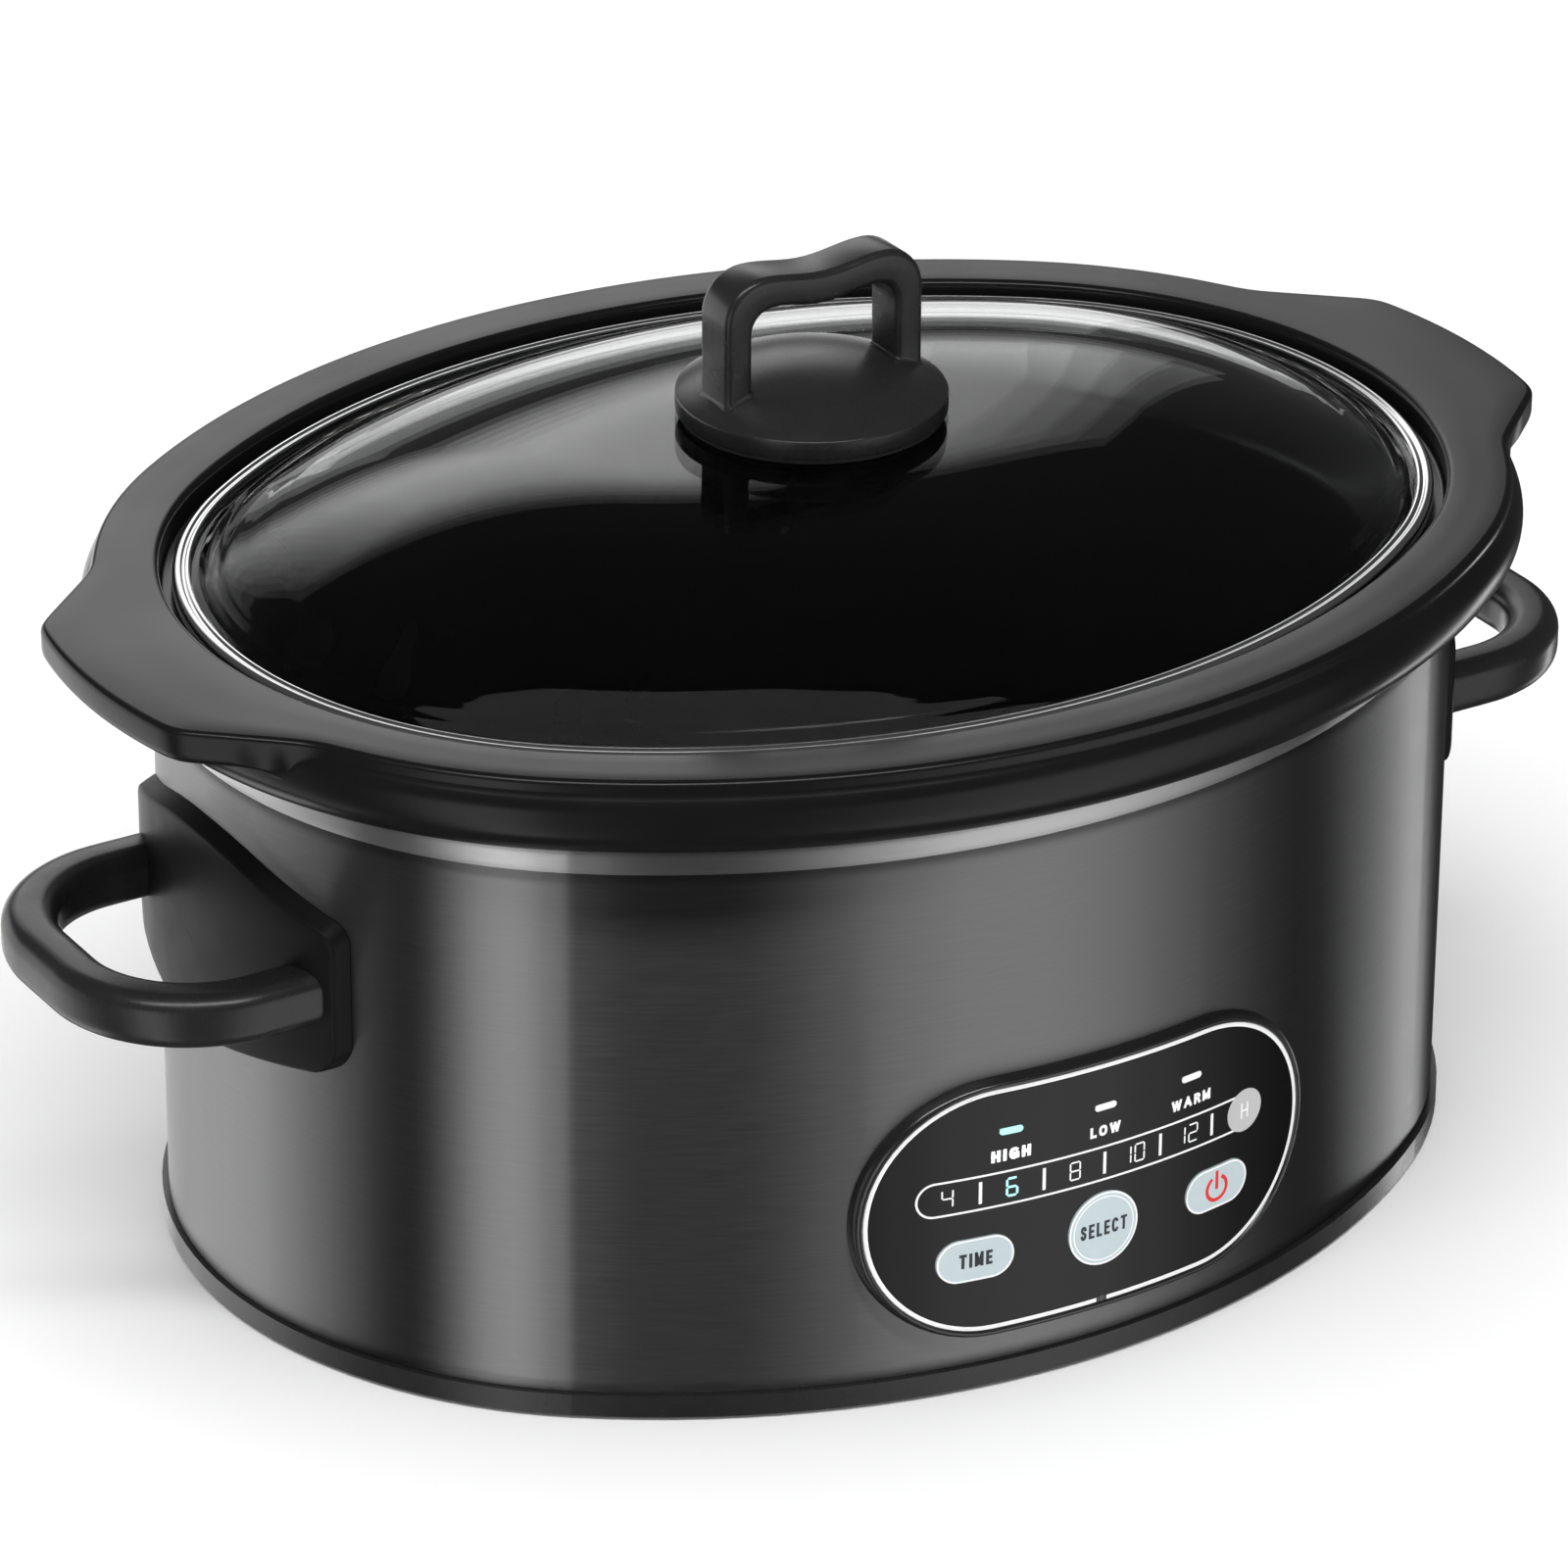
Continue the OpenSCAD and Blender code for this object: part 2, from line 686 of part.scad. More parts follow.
// Ceramic fuse in its clip on the back of the well, above the band
module thermal_fuse() color([0.85, 0.82, 0.74])
    translate([0, -side_centre, band_z + band_height + fuse_lift])
        rotate([0, 0, 90 + fuse_place])
            translate([side_radius + well_out + slip, 0, 0]) {
                translate([0, -fuse_clip[1] / 2, -fuse_clip[2] / 2]) cube(fuse_clip);
                translate([fuse_clip[0] + fuse_radius - 0.2, 0, 0])
                    rotate([90, 0, 0]) cylinder(r = fuse_radius, h = fuse_length, center = true);
            }

// Sensor in a spring clip under the well's floor
module temperature_sensor() color([0.8, 0.8, 0.78])
    translate([sensor_place[0], sensor_place[1], well_floor_z - slip]) {
        translate([0, 0, -sensor_height]) cylinder(r = sensor_radius, h = sensor_height);
        translate([-sensor_clip[0] / 2, -sensor_clip[1] / 2, -sensor_clip[2]]) cube(sensor_clip);
    }

// ---- side handles ----

// Section of the loop's bar: a rectangle with round edges
module bar_section() {
    inner_w = loop_bar_width - 2 * loop_edge;
    inner_h = loop_bar_height - 2 * loop_edge;
    square([loop_bar_width, inner_h], center = true);
    square([inner_w, loop_bar_height], center = true);
    for (sx = [-1, 1]) for (sy = [-1, 1])
        translate([sx * inner_w / 2, sy * inner_h / 2]) circle(r = loop_edge, $fn = 32);
}

// Six-sided mounting plate seen from the end, in Y and Z
module plate_outline()
    polygon(rounded([
        [-plate_half_width, plate_belly], [0, 0], [plate_half_width, plate_belly],
        [plate_half_width, plate_shoulder], [0, plate_peak], [-plate_half_width, plate_shoulder]],
        [plate_corner, plate_belly_round, plate_corner, plate_soft, plate_peak_round, plate_soft]));

module handle(side) color(plastic_black)
    mirror([side < 0 ? 1 : 0, 0, 0])
        difference() {
            union() {
                intersection() {
                    translate([end_centre, 0, 0])
                        difference() {
                            cylinder(r = end_radius + plate_front, h = wrap_top, $fn = 360);
                            translate([0, 0, -1])
                                cylinder(r = end_radius + plate_back, h = wrap_top + 2, $fn = 360);
                        }
                    translate([end_centre, 0, plate_bottom_z])
                        rotate([90, 0, 90]) linear_extrude(2 * end_radius) plate_outline();
                }
                for (s = [-1, 1]) {
                    difference() {
                        translate([loop_root_x, s * (loop_half_width - loop_bar_width / 2), loop_z])
                            rotate([90, 0, 90])
                                linear_extrude(loop_turn_x - loop_root_x) bar_section();
                        translate([end_centre, 0, plate_bottom_z])
                            cylinder(r = loop_root_radius, h = plate_peak, $fn = 360);
                    }
                    translate([loop_turn_x, s * loop_turn_y, loop_z])
                        rotate([0, 0, s > 0 ? 0 : -90])
                            rotate_extrude(angle = 90)
                                translate([loop_mid_radius, 0]) bar_section();
                }
                translate([loop_turn_x + loop_mid_radius, loop_turn_y, loop_z])
                    rotate([90, 0, 0]) linear_extrude(2 * loop_turn_y) bar_section();
            }
            for (t = [-1, 1])
                translate([half_length - 2, 0, loop_z + t * handle_screw_half])
                    rotate([0, 90, 0])
                        cylinder(r = handle_screw_radius, h = 2 + plate_front - screw_wall);
        }

module handle_left() handle(-1);

module handle_right() handle(1);

// Screws from inside the wrap into the handle plates
module handle_screws() color(steel_bare)
    for (s = [-1, 1]) for (t = [-1, 1])
        mirror([s < 0 ? 1 : 0, 0, 0])
            translate([half_length - wrap_wall - slip, 0, loop_z + t * handle_screw_half])
                rotate([0, 90, 0])
                    screw(handle_screw_radius - screw_slip,
                        wrap_wall + slip + plate_front - screw_wall - screw_spare / 2,
                        handle_head[0], handle_head[1]);

// ---- control panel ----

// Copies a child to the control board's four screws, with its Z along +Y
module at_board_screws(y) {
    for (t = [-1, 1]) for (s = [-1, 1])
        translate([s * board_screw_x, y, panel_z + t * board_screw_z]) rotate([-90, 0, 0]) children();
}

module control_bezel() color(plastic_black)
    difference() {
        union() {
            difference() {
                union() {
                    front_curve(slip, bezel_proud, panel_z) stadium(bezel_length, bezel_height);
                    front_curve(-bezel_sleeve, slip, panel_z) stadium(sleeve_length, sleeve_height);
                    for (t = [-1, 1])
                        front_curve(-bezel_sleeve, -wrap_wall - slip, panel_z)
                            translate([0, t * (cut_height / 2 + clip_hook - clip_height / 2)])
                                square([clip_length, clip_height], center = true);
                }
                front_curve(face_back, bezel_proud + 1, panel_z) stadium(window_length, window_height);
                front_curve(-bezel_sleeve - 1, face_back + 1, panel_z) stadium(open_length, open_height);
            }
            at_board_screws(-half_width + 1) cylinder(r = post_radius, h = board_inset - 1);
        }
        at_board_screws(board_y - small_bite - screw_spare)
            cylinder(r = small_screw[0], h = small_bite + 2 * screw_spare);
    }

// Outline of each key, grown by a margin: 0 is the middle key, -1 and 1 the outer two
module key_outline(which, margin) {
    if (which == 0) circle(r = round_key_radius + margin);
    else translate([which * key_spacing, 0])
        stadium(key_length + 2 * margin, key_height + 2 * margin);
}

module light_outline(margin) {
    for (i = [-1, 0, 1])
        translate([i * light_spacing, light_rise])
            square([light_length + 2 * margin, light_height + 2 * margin], center = true);
}

module panel_face() color([0.02, 0.02, 0.025])
    difference() {
        front_curve(face_back + slip, face_front, panel_z) stadium(face_length, face_height);
        for (which = [-1, 0, 1])
            front_prism(key_z) key_outline(which, key_clear);
        front_prism(panel_z) light_outline(slip);
    }

module light_bars() color([0.6, 0.9, 0.9])
    front_curve(face_back + slip - 1, face_front, panel_z) light_outline(0);

// One key: cap, holding flange behind the face and a stem to its switch
module key(which) color([0.66, 0.71, 0.73]) {
    x = which * key_spacing;
    flange_front = face_back + slip - 0.4;
    flange_back = flange_front - key_flange;
    front_curve(flange_front - 0.1, face_front + key_proud, key_z) key_outline(which, 0);
    front_curve(flange_back, flange_front, key_z) key_outline(which, key_flange_rim);
    back_y = side_centre - sqrt((side_radius + flange_back + 0.3) ^ 2 - x ^ 2);
    translate([x, stem_end_y, key_z])
        rotate([90, 0, 0]) cylinder(r = stem_radius, h = stem_end_y - back_y);
}

module key_time() key(-1);

module key_select() key(0);

module key_power() key(1);

module control_board() color(board_green)
    difference() {
        translate([-board_length / 2, board_y, panel_z - board_height / 2])
            cube([board_length, board_thickness, board_height]);
        at_board_screws(board_y - 1) cylinder(r = small_screw[0] + screw_room, h = board_thickness + 2);
    }

module board_screws() color(steel_bare)
    at_board_screws(board_y + board_thickness)
        mirror([0, 0, 1])
            screw(small_screw[0] - screw_slip, board_thickness + small_bite, small_screw[1], small_screw[2]);

module tact_switches() color([0.15, 0.15, 0.15])
    for (which = [-1, 0, 1])
        translate([which * key_spacing, board_y, key_z]) {
            translate([-switch_size / 2, -switch_height, -switch_size / 2])
                cube([switch_size, switch_height, switch_size]);
            translate([0, -switch_height, 0]) rotate([90, 0, 0])
                cylinder(r = switch_nub_radius, h = switch_nub, $fn = 32);
        }

// Lamp on the front of the control board
module lamp(x, z, size)
    translate([x - size[0] / 2, board_y - size[1], z - size[2] / 2]) cube(size);

// Lamps behind the light bars and behind the row of hour marks
module display_leds() color([0.9, 0.9, 0.8]) {
    for (i = [-1, 0, 1]) lamp(i * light_spacing, panel_z + light_rise, led_size);
    for (i = [-2.5 : 1 : 2.5]) lamp(i * hour_pitch, panel_z + hour_rise, hour_led_size);
}

module control_chip() color([0.05, 0.05, 0.06])
    translate([chip_place[0], board_y - chip_size[1], panel_z + chip_place[1]]) cube(chip_size);

// ---- electronics in the base ----

module power_board() color(board_green)
    difference() {
        translate([power_board_x, power_board_y, power_board_z + board_thickness / 2])
            cube([power_board_length, power_board_width, board_thickness], center = true);
        at_power_posts(power_board_z - 1)
            cylinder(r = small_screw[0] + screw_room, h = board_thickness + 2);
    }

module power_board_screws() color(steel_bare)
    at_power_posts(power_top)
        mirror([0, 0, 1])
            screw(small_screw[0] - screw_slip, board_thickness + small_bite, small_screw[1], small_screw[2]);

// Puts a block on the power board: its size, its place from the board's middle and its lift
module block(size, place, lift = 0) {
    translate([power_board_x + place[0], power_board_y + place[1], power_top + lift + size[2] / 2])
        cube(size, center = true);
}

module transformer() color([0.82, 0.72, 0.25]) {
    block(transformer_base, transformer_place);
    block(transformer_coil, transformer_place, transformer_base[2]);
    block(transformer_core, transformer_place, transformer_base[2]);
}

module relay() color([0.1, 0.2, 0.5]) block(relay_size, relay_place);

module capacitor() color([0.75, 0.65, 0.15]) block(capacitor_size, capacitor_place);

module terminal_block() color([0.2, 0.45, 0.3])
    difference() {
        block(terminal_size, terminal_place);
        for (i = [-1.5 : 1 : 1.5])
            translate([terminal_x + i * terminal_pitch, terminal_y, power_top + terminal_size[2] / 2])
                cylinder(r = terminal_hole, h = terminal_size[2], $fn = 24);
    }

// Flat ribbon from the power board forward to the foot of the control board
module control_ribbon() color([0.75, 0.75, 0.78]) {
    back = board_y + board_thickness;
    start = power_board_y - power_board_width / 2 + ribbon_plug[1] - 1;
    low = power_top + ribbon_plug[2] - 2;
    high = panel_z - board_height / 2 + ribbon_plug[2] - 2;
    turn_at = start - 3 * ribbon_plug[1];
    rise_to = back + 2 * ribbon_plug[1];
    translate([power_board_x + ribbon_x, 0, 0]) {
        translate([0, start, power_top]) cube(ribbon_plug);
        translate([0, back, high - ribbon_plug[2] / 2]) cube(ribbon_plug);
        translate([(ribbon_plug[0] - ribbon_width) / 2, 0, 0])
            rotate([90, 0, 90]) linear_extrude(ribbon_width)
                polygon([
                    [start + 1, low], [turn_at, low], [rise_to, high - ribbon_sheet],
                    [back + ribbon_plug[1] - 1, high - ribbon_sheet], [back + ribbon_plug[1] - 1, high],
                    [rise_to, high], [turn_at, low + ribbon_sheet], [start + 1, low + ribbon_sheet]]);
    }
}

// Two leads from the terminal block up the back of the well to the heater band
module heater_leads() color([0.9, 0.9, 0.88]) {
    top = band_z + lead_tab[2] / 2;
    radius = side_radius + well_out + slip + band_thickness;
    y0 = terminal_y + terminal_size[1] / 2 + slip;
    for (s = [0, 1]) {
        x0 = terminal_x + (s - 0.5) * terminal_pitch;
        x1 = lead_start + s * lead_pitch;
        y1 = sqrt(radius ^ 2 - x1 ^ 2) - side_centre + slip + lead_tab[0] * 0.8;
        z0 = power_top + terminal_size[2] / 2;
        wire([[x0, y0, z0], [x0, y0 + 4 * lead_tab[1], z0],
            [x1, y1, power_top + terminal_size[2]], [x1, y1, top]], lead_radius);
        translate([0, -side_centre, top - 1])
            rotate([0, 0, 90 - asin(x1 / radius)])
                translate([radius + slip, -lead_tab[1] / 2, 0]) cube(lead_tab);
    }
}

// Mains leads from the terminal block to the cord gland
module mains_leads() color([0.5, 0.3, 0.15])
    for (s = [-1, 1]) {
        x0 = terminal_x + s * 1.5 * terminal_pitch;
        y0 = terminal_y + terminal_size[1] / 2 + slip;
        z0 = power_top + lead_radius + 1;
        gx = s * (lead_radius + 0.3);
        gy = half_width - gland_thread - 2 * lead_radius;
        wire([[x0, y0, z0], [x0, y0 + 2 * lead_tab[1], z0], [gx, gy - lead_rise, z0],
            [gx, gy - 5, gland_z], [gx, gy, gland_z]], lead_radius);
    }

module cord_gland() color([0.08, 0.08, 0.08])
    translate([0, half_width, gland_z])
        rotate([-90, 0, 0])
            difference() {
                union() {
                    translate([0, 0, -gland_thread]) cylinder(r = gland_radius, h = gland_thread + slip);
                    translate([0, 0, slip])
                        cylinder(r = gland_radius + gland_flange, h = gland_flange_height);
                    translate([0, 0, slip + gland_flange_height])
                        cylinder(r1 = gland_radius, r2 = gland_radius - gland_taper,
                            h = gland_proud - gland_flange_height);
                }
                translate([0, 0, -gland_thread - 1])
                    cylinder(r = gland_bore, h = gland_thread + gland_proud + 3);
            }

module gland_nut() color([0.08, 0.08, 0.08])
    translate([0, half_width - wrap_wall - tray_wall - 4 * slip, gland_z])
        rotate([90, 0, 0])
            difference() {
                cylinder(r = gland_radius + nut_width, h = nut_height, $fn = 6);
                translate([0, 0, -1]) cylinder(r = gland_radius + screw_slip, h = nut_height + 2);
            }

// ---- crock ----

// Section through the rim: flat top, roll and taper outside, ledge for the lid inside
module rim_profile()
    difference() {
        union() {
            translate(rim_centre) circle(r = rim_round);
            polygon([[crock_in, crock_seat], rim_foot, rim_touch, rim_centre, [crock_in, bulge_mid_z]]);
            strip(crock_in, rim_flat, bulge_mid_z, rim_top - rim_edge);
            strip(crock_in, rim_flat - rim_edge, rim_top - rim_edge, rim_top);
            translate([rim_flat - rim_edge, rim_top - rim_edge]) circle(r = rim_edge, $fn = 48);
            strip(crock_in, crock_out, crock_seat - 2, crock_seat);
        }
        strip(crock_in - 1, rim_inner, ledge_z, rim_top + 1);
        difference() {
            strip(rim_inner - 1, rim_inner + rim_edge, rim_top - rim_edge, rim_top + 1);
            translate([rim_inner + rim_edge, rim_top - rim_edge]) circle(r = rim_edge, $fn = 48);
        }
        polygon([[crock_in - 1, ledge_z - shoulder_height], [crock_in, ledge_z - shoulder_height],
            [ledge_in, ledge_z - 3], [ledge_in, ledge_z + 1], [crock_in - 1, ledge_z + 1]]);
    }

// Plan of one lug at the +X end
module lug_plan(inset) {
    tip_r = end_radius + lug_reach - inset;
    tip_y = lug_tip_half - inset;
    root_x = end_centre + sqrt((end_radius + rim_flat) ^ 2 - lug_half_width ^ 2);
    root_y = lug_half_width - inset;
    tip_a = asin(tip_y / tip_r);
    polygon(rounded([
        [root_x - 10, -root_y - 2], [root_x, -root_y],
        end_centre * [1, 0] + tip_r * [cos(tip_a), -sin(tip_a)],
        end_centre * [1, 0] + tip_r * [cos(tip_a / 2), -sin(tip_a / 2)],
        [end_centre + tip_r, 0],
        end_centre * [1, 0] + tip_r * [cos(tip_a / 2), sin(tip_a / 2)],
        end_centre * [1, 0] + tip_r * [cos(tip_a), sin(tip_a)],
        [root_x, root_y], [root_x - 10, root_y + 2]],
        [0, 0, lug_corner, lug_tip_round, lug_tip_round, lug_tip_round, lug_corner, 0, 0]));
}

module crock() color([0.06, 0.06, 0.06]) {
    corner_z = crock_z + crock_corner;
    oval_sweep() {
        rim_profile();
        strip(crock_in, crock_out, corner_z, crock_seat - 1);
        translate([crock_out - crock_corner, corner_z])
            intersection() {
                difference() {
                    circle(r = crock_corner);
                    circle(r = crock_corner - crock_wall);
                }
                translate([0, -crock_corner]) square(crock_corner);
            }
    }
    translate([0, 0, crock_z]) linear_extrude(crock_wall) oval_plan(crock_out - crock_corner);
    for (side = [0, 180])
        rotate([0, 0, side])
            difference() {
                union() {
                    translate([0, 0, rim_top - lug_thickness + lug_bevel])
                        linear_extrude(lug_thickness - 2 * lug_bevel) lug_plan(0);
                    translate([0, 0, rim_top - lug_thickness])
                        linear_extrude(lug_thickness) lug_plan(lug_bevel);
                }
                translate([end_centre, 0, 0])
                    cylinder(r = end_radius + rim_inner + rim_edge + 1, h = rim_top + 1, $fn = 360);
            }
}

// ---- lid ----

module lid_glass() color([0.8, 0.85, 0.85, 0.35])
    difference() {
        union() {
            oval_sweep() {
                strip(dome_edge - 0.5, lid_out - lid_rim_sheet - slip, glass_edge_z, glass_edge_top);
                intersection() {
                    translate([crown_off, crown_z - dome_radius])
                        difference() {
                            circle(r = dome_radius, $fn = 360);
                            circle(r = dome_radius - glass_thickness, $fn = 360);
                        }
                    strip(crown_off, dome_edge, glass_edge_z, crown_z + 1);
                }
            }
            translate([0, 0, crown_z - glass_thickness])
                linear_extrude(glass_thickness) oval_plan(crown_off);
        }
        translate([0, 0, crown_z - glass_thickness - 1])
            cylinder(r = knob_screw[0] + glass_room, h = glass_thickness + 2);
    }

module lid_rim() color([0.85, 0.85, 0.86])
    oval_sweep()
        difference() {
            strip(lid_in, lid_out, lid_z, lid_rim_top);
            strip(lid_in - 1, lid_out - lid_rim_sheet, lid_z + lid_rim_sheet, lid_rim_top - lid_rim_sheet);
        }

// Height of the grip's wave at a distance from the middle
function wave(x, hump) = -bridge_dip * (1 + cos(180 * x / hump)) / 2;

// Outline of the bridge between its legs' feet, outside or inside
function bridge_path(half, top, corner) =
    let (hump = half - corner)
    concat(
        [[-half, 0]],
        [for (k = [0 : arc_steps]) let (a = 90 - 90 * k / arc_steps)
            [-hump - corner * sin(a), top - corner + corner * cos(a)]],
        [for (k = [1 : 15]) let (x = hump * (k / 8 - 1)) [x, top + wave(x, hump)]],
        [for (k = [0 : arc_steps]) let (a = 90 * k / arc_steps)
            [hump + corner * sin(a), top - corner + corner * cos(a)]],
        [[half, 0]]);

module lid_handle() color(plastic_black) {
    half = bridge_length / 2;
    difference() {
        translate([0, 0, knob_z])
            rotate_extrude() {
                square([knob_radius, knob_thickness]);
                intersection() {
                    translate([0, knob_thickness + knob_dome - knob_round]) circle(r = knob_round, $fn = 360);
                    square([knob_radius, knob_thickness + knob_dome + 1]);
                }
            }
        translate([0, 0, knob_z - 1]) cylinder(r = knob_screw[0] + screw_slip, h = 1 + knob_screw_depth);
    }
    translate([0, bridge_depth / 2, knob_top - slip])
        rotate([90, 0, 0])
            linear_extrude(bridge_depth)
                difference() {
                    polygon(bridge_path(half, bridge_height + slip, bridge_corner));
                    translate([0, -1])
                        polygon(bridge_path(half - bridge_leg, bridge_height + slip + 1 - bridge_grip,
                            bridge_corner - 5));
                }
}

module lid_seal() color([0.03, 0.03, 0.03])
    translate([0, 0, seal_z])
        difference() {
            cylinder(r = knob_radius - 1, h = knob_seal);
            translate([0, 0, -1]) cylinder(r = knob_screw[0] + screw_room, h = knob_seal + 2);
        }

module lid_screw() color(steel_bare)
    translate([0, 0, crown_z - glass_thickness - slip])
        screw(knob_screw[0], glass_thickness + knob_seal + knob_screw_depth + 2 * slip,
            knob_screw[1], knob_screw[2]);

outer_shell();
top_collar();
base_tray();
rubber_feet();
standoffs();
base_screws();
heating_well();
heater_band();
band_clamp();
thermal_fuse();
temperature_sensor();
handle_left();
handle_right();
handle_screws();
control_bezel();
panel_face();
light_bars();
control_board();
board_screws();
tact_switches();
display_leds();
control_chip();
power_board();
power_board_screws();
transformer();
relay();
capacitor();
terminal_block();
control_ribbon();
heater_leads();
mains_leads();
cord_gland();
gland_nut();
key_time();
key_select();
key_power();
crock();
lid_glass();
lid_rim();
lid_handle();
lid_seal();
lid_screw();
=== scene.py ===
import json
import math
import bmesh
import bpy
from mathutils import Matrix, Vector


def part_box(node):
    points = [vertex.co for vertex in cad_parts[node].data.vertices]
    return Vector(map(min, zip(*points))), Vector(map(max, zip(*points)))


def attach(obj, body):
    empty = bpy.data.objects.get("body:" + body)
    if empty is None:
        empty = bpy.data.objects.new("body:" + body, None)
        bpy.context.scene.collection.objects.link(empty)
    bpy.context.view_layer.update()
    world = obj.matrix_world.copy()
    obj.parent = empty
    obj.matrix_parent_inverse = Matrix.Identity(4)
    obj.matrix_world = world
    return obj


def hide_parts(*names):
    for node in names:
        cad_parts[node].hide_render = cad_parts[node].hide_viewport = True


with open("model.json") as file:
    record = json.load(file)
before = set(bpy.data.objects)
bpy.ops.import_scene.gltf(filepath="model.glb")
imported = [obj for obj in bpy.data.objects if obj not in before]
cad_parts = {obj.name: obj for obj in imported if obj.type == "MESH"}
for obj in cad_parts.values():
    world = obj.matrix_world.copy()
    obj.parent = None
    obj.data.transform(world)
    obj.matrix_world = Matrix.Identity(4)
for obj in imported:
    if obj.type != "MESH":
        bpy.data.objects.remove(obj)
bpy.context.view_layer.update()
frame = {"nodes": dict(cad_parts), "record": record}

scene = bpy.context.scene
mm = 0.001

cameraSet = {"place": (-0.9626, -1.5570, 1.0024), "pitch": 63.747, "heading": -31.527, "roll": 0.273,
             "lens": 185.8}


def makeCamera():
    data = bpy.data.cameras.new("camera")
    data.lens = cameraSet["lens"]
    data.sensor_width = 36
    data.clip_end = 40
    camera = bpy.data.objects.new("camera", data)
    scene.collection.objects.link(camera)
    turn = (Matrix.Rotation(math.radians(cameraSet["heading"]), 4, "Z")
            @ Matrix.Rotation(math.radians(cameraSet["pitch"]), 4, "X")
            @ Matrix.Rotation(math.radians(cameraSet["roll"]), 4, "Z"))
    camera.matrix_world = Matrix.Translation(cameraSet["place"]) @ turn
    scene.camera = camera


makeCamera()
print("camera ready")

# upright light cards round the cooker: first and last direction, from the panel's side in degrees,
# and how bright each one is; they reach below the floor, so that upright steel mirrors them evenly
lightCards = {
    "backLeft": ((-171, -122, 0.5), (-175, -112, 0.37), (-178, -102, 0.3), (-179, -94, 0.12)),
    "frontLeft": ((-77, -42, 0.17), (-74, -45, 0.35), (-70, -49, 0.4), (-66, -53, 0.42)),
    "front": ((16, 26, 0.08), (6, 36, 0.3), (-3, 45, 0.31), (-10, 54, 0.22), (-17, 62, 0.1)),
}
cardSet = {"far": 2.6, "gap": 0.02, "low": -4.2, "high": 0.8}
# smaller cards: a low one at the right for a narrow streak on the steel, and some behind the cooker for
# the rim's flat top and the glass; direction, half width, lower and upper edge, distance and brightness
smallCards = {
    "right0": (101.5, 4, -2.1, -0.8, 2.7, 3.4), "right1": (101.5, 6, -2.3, -0.6, 2.72, 0.7),
    "rearLow0": (161, 21, -1.9, -0.3, 3.0, 0.6), "rearLow1": (161, 20, -1.9, 0.1, 3.02, 0.45),
    "rearLow2": (161, 19, -1.9, 0.45, 3.04, 0.3),
}
# the high one behind shrinks step by step, for a soft edge; half width, lower and upper edge and
# distance, each with its change a step
fadeSet = {"steps": 7, "turn": 159, "level": 0.27,
           "change": ((25, -2.6), (0.75, 0.08), (2.4, -0.08), (3.1, 0.02))}
for k in range(fadeSet["steps"]):
    half, low, high, far = [start + change * k for start, change in fadeSet["change"]]
    smallCards[f"rearHigh{k}"] = (fadeSet["turn"], half, low, high, far, fadeSet["level"])
edgeStrip = {"turn": -31, "rise": 62, "far": 2.4, "aim": 0.15, "size": (2.4, 0.34), "level": 9.0}
topSoft = {"place": (-0.2, -0.3, 2.6), "size": (2.6, 1.8), "level": 1.5}
floorSet = {"half": 12, "cells": 8, "tone": (0.95, 0.95, 0.95), "rough": 0.9}
skySet = {"soft": 0.62, "mirrored": 0.055}   # brightness for soft light, and as gloss sees it


def areaLight(name, place, aim, size, level):
    data = bpy.data.lights.new(name, "AREA")
    data.shape = "RECTANGLE"
    data.size, data.size_y = size
    data.energy = level * math.pi * size[0] * size[1]
    light = bpy.data.objects.new(name, data)
    scene.collection.objects.link(light)
    light.location = place
    light.rotation_euler = (Vector(aim) - Vector(place)).to_track_quat("-Z", "Y").to_euler()
    light.visible_camera = False
    return light


# constant values, straight on a node's sockets
def fill(node, values):
    for name, value in values.items():
        node.inputs[name].default_value = value


def addNode(tree, kind, **values):
    node = tree.nodes.new("ShaderNode" + kind)
    fill(node, values)
    return node


def newMaterial(name):
    mat = bpy.data.materials.new(name)
    mat.use_nodes = True
    return mat, mat.node_tree, mat.node_tree.nodes["Principled BSDF"]


def uprightCard(name, first, last, low, high, far, level):
    a = math.radians((first + last) / 2)
    middle = (low + high) / 2
    wide = 2 * far * math.tan(math.radians(last - first) / 2)
    place = (far * math.sin(a), -far * math.cos(a), middle)
    areaLight(name, place, (0, 0, middle), (wide, high - low), level)


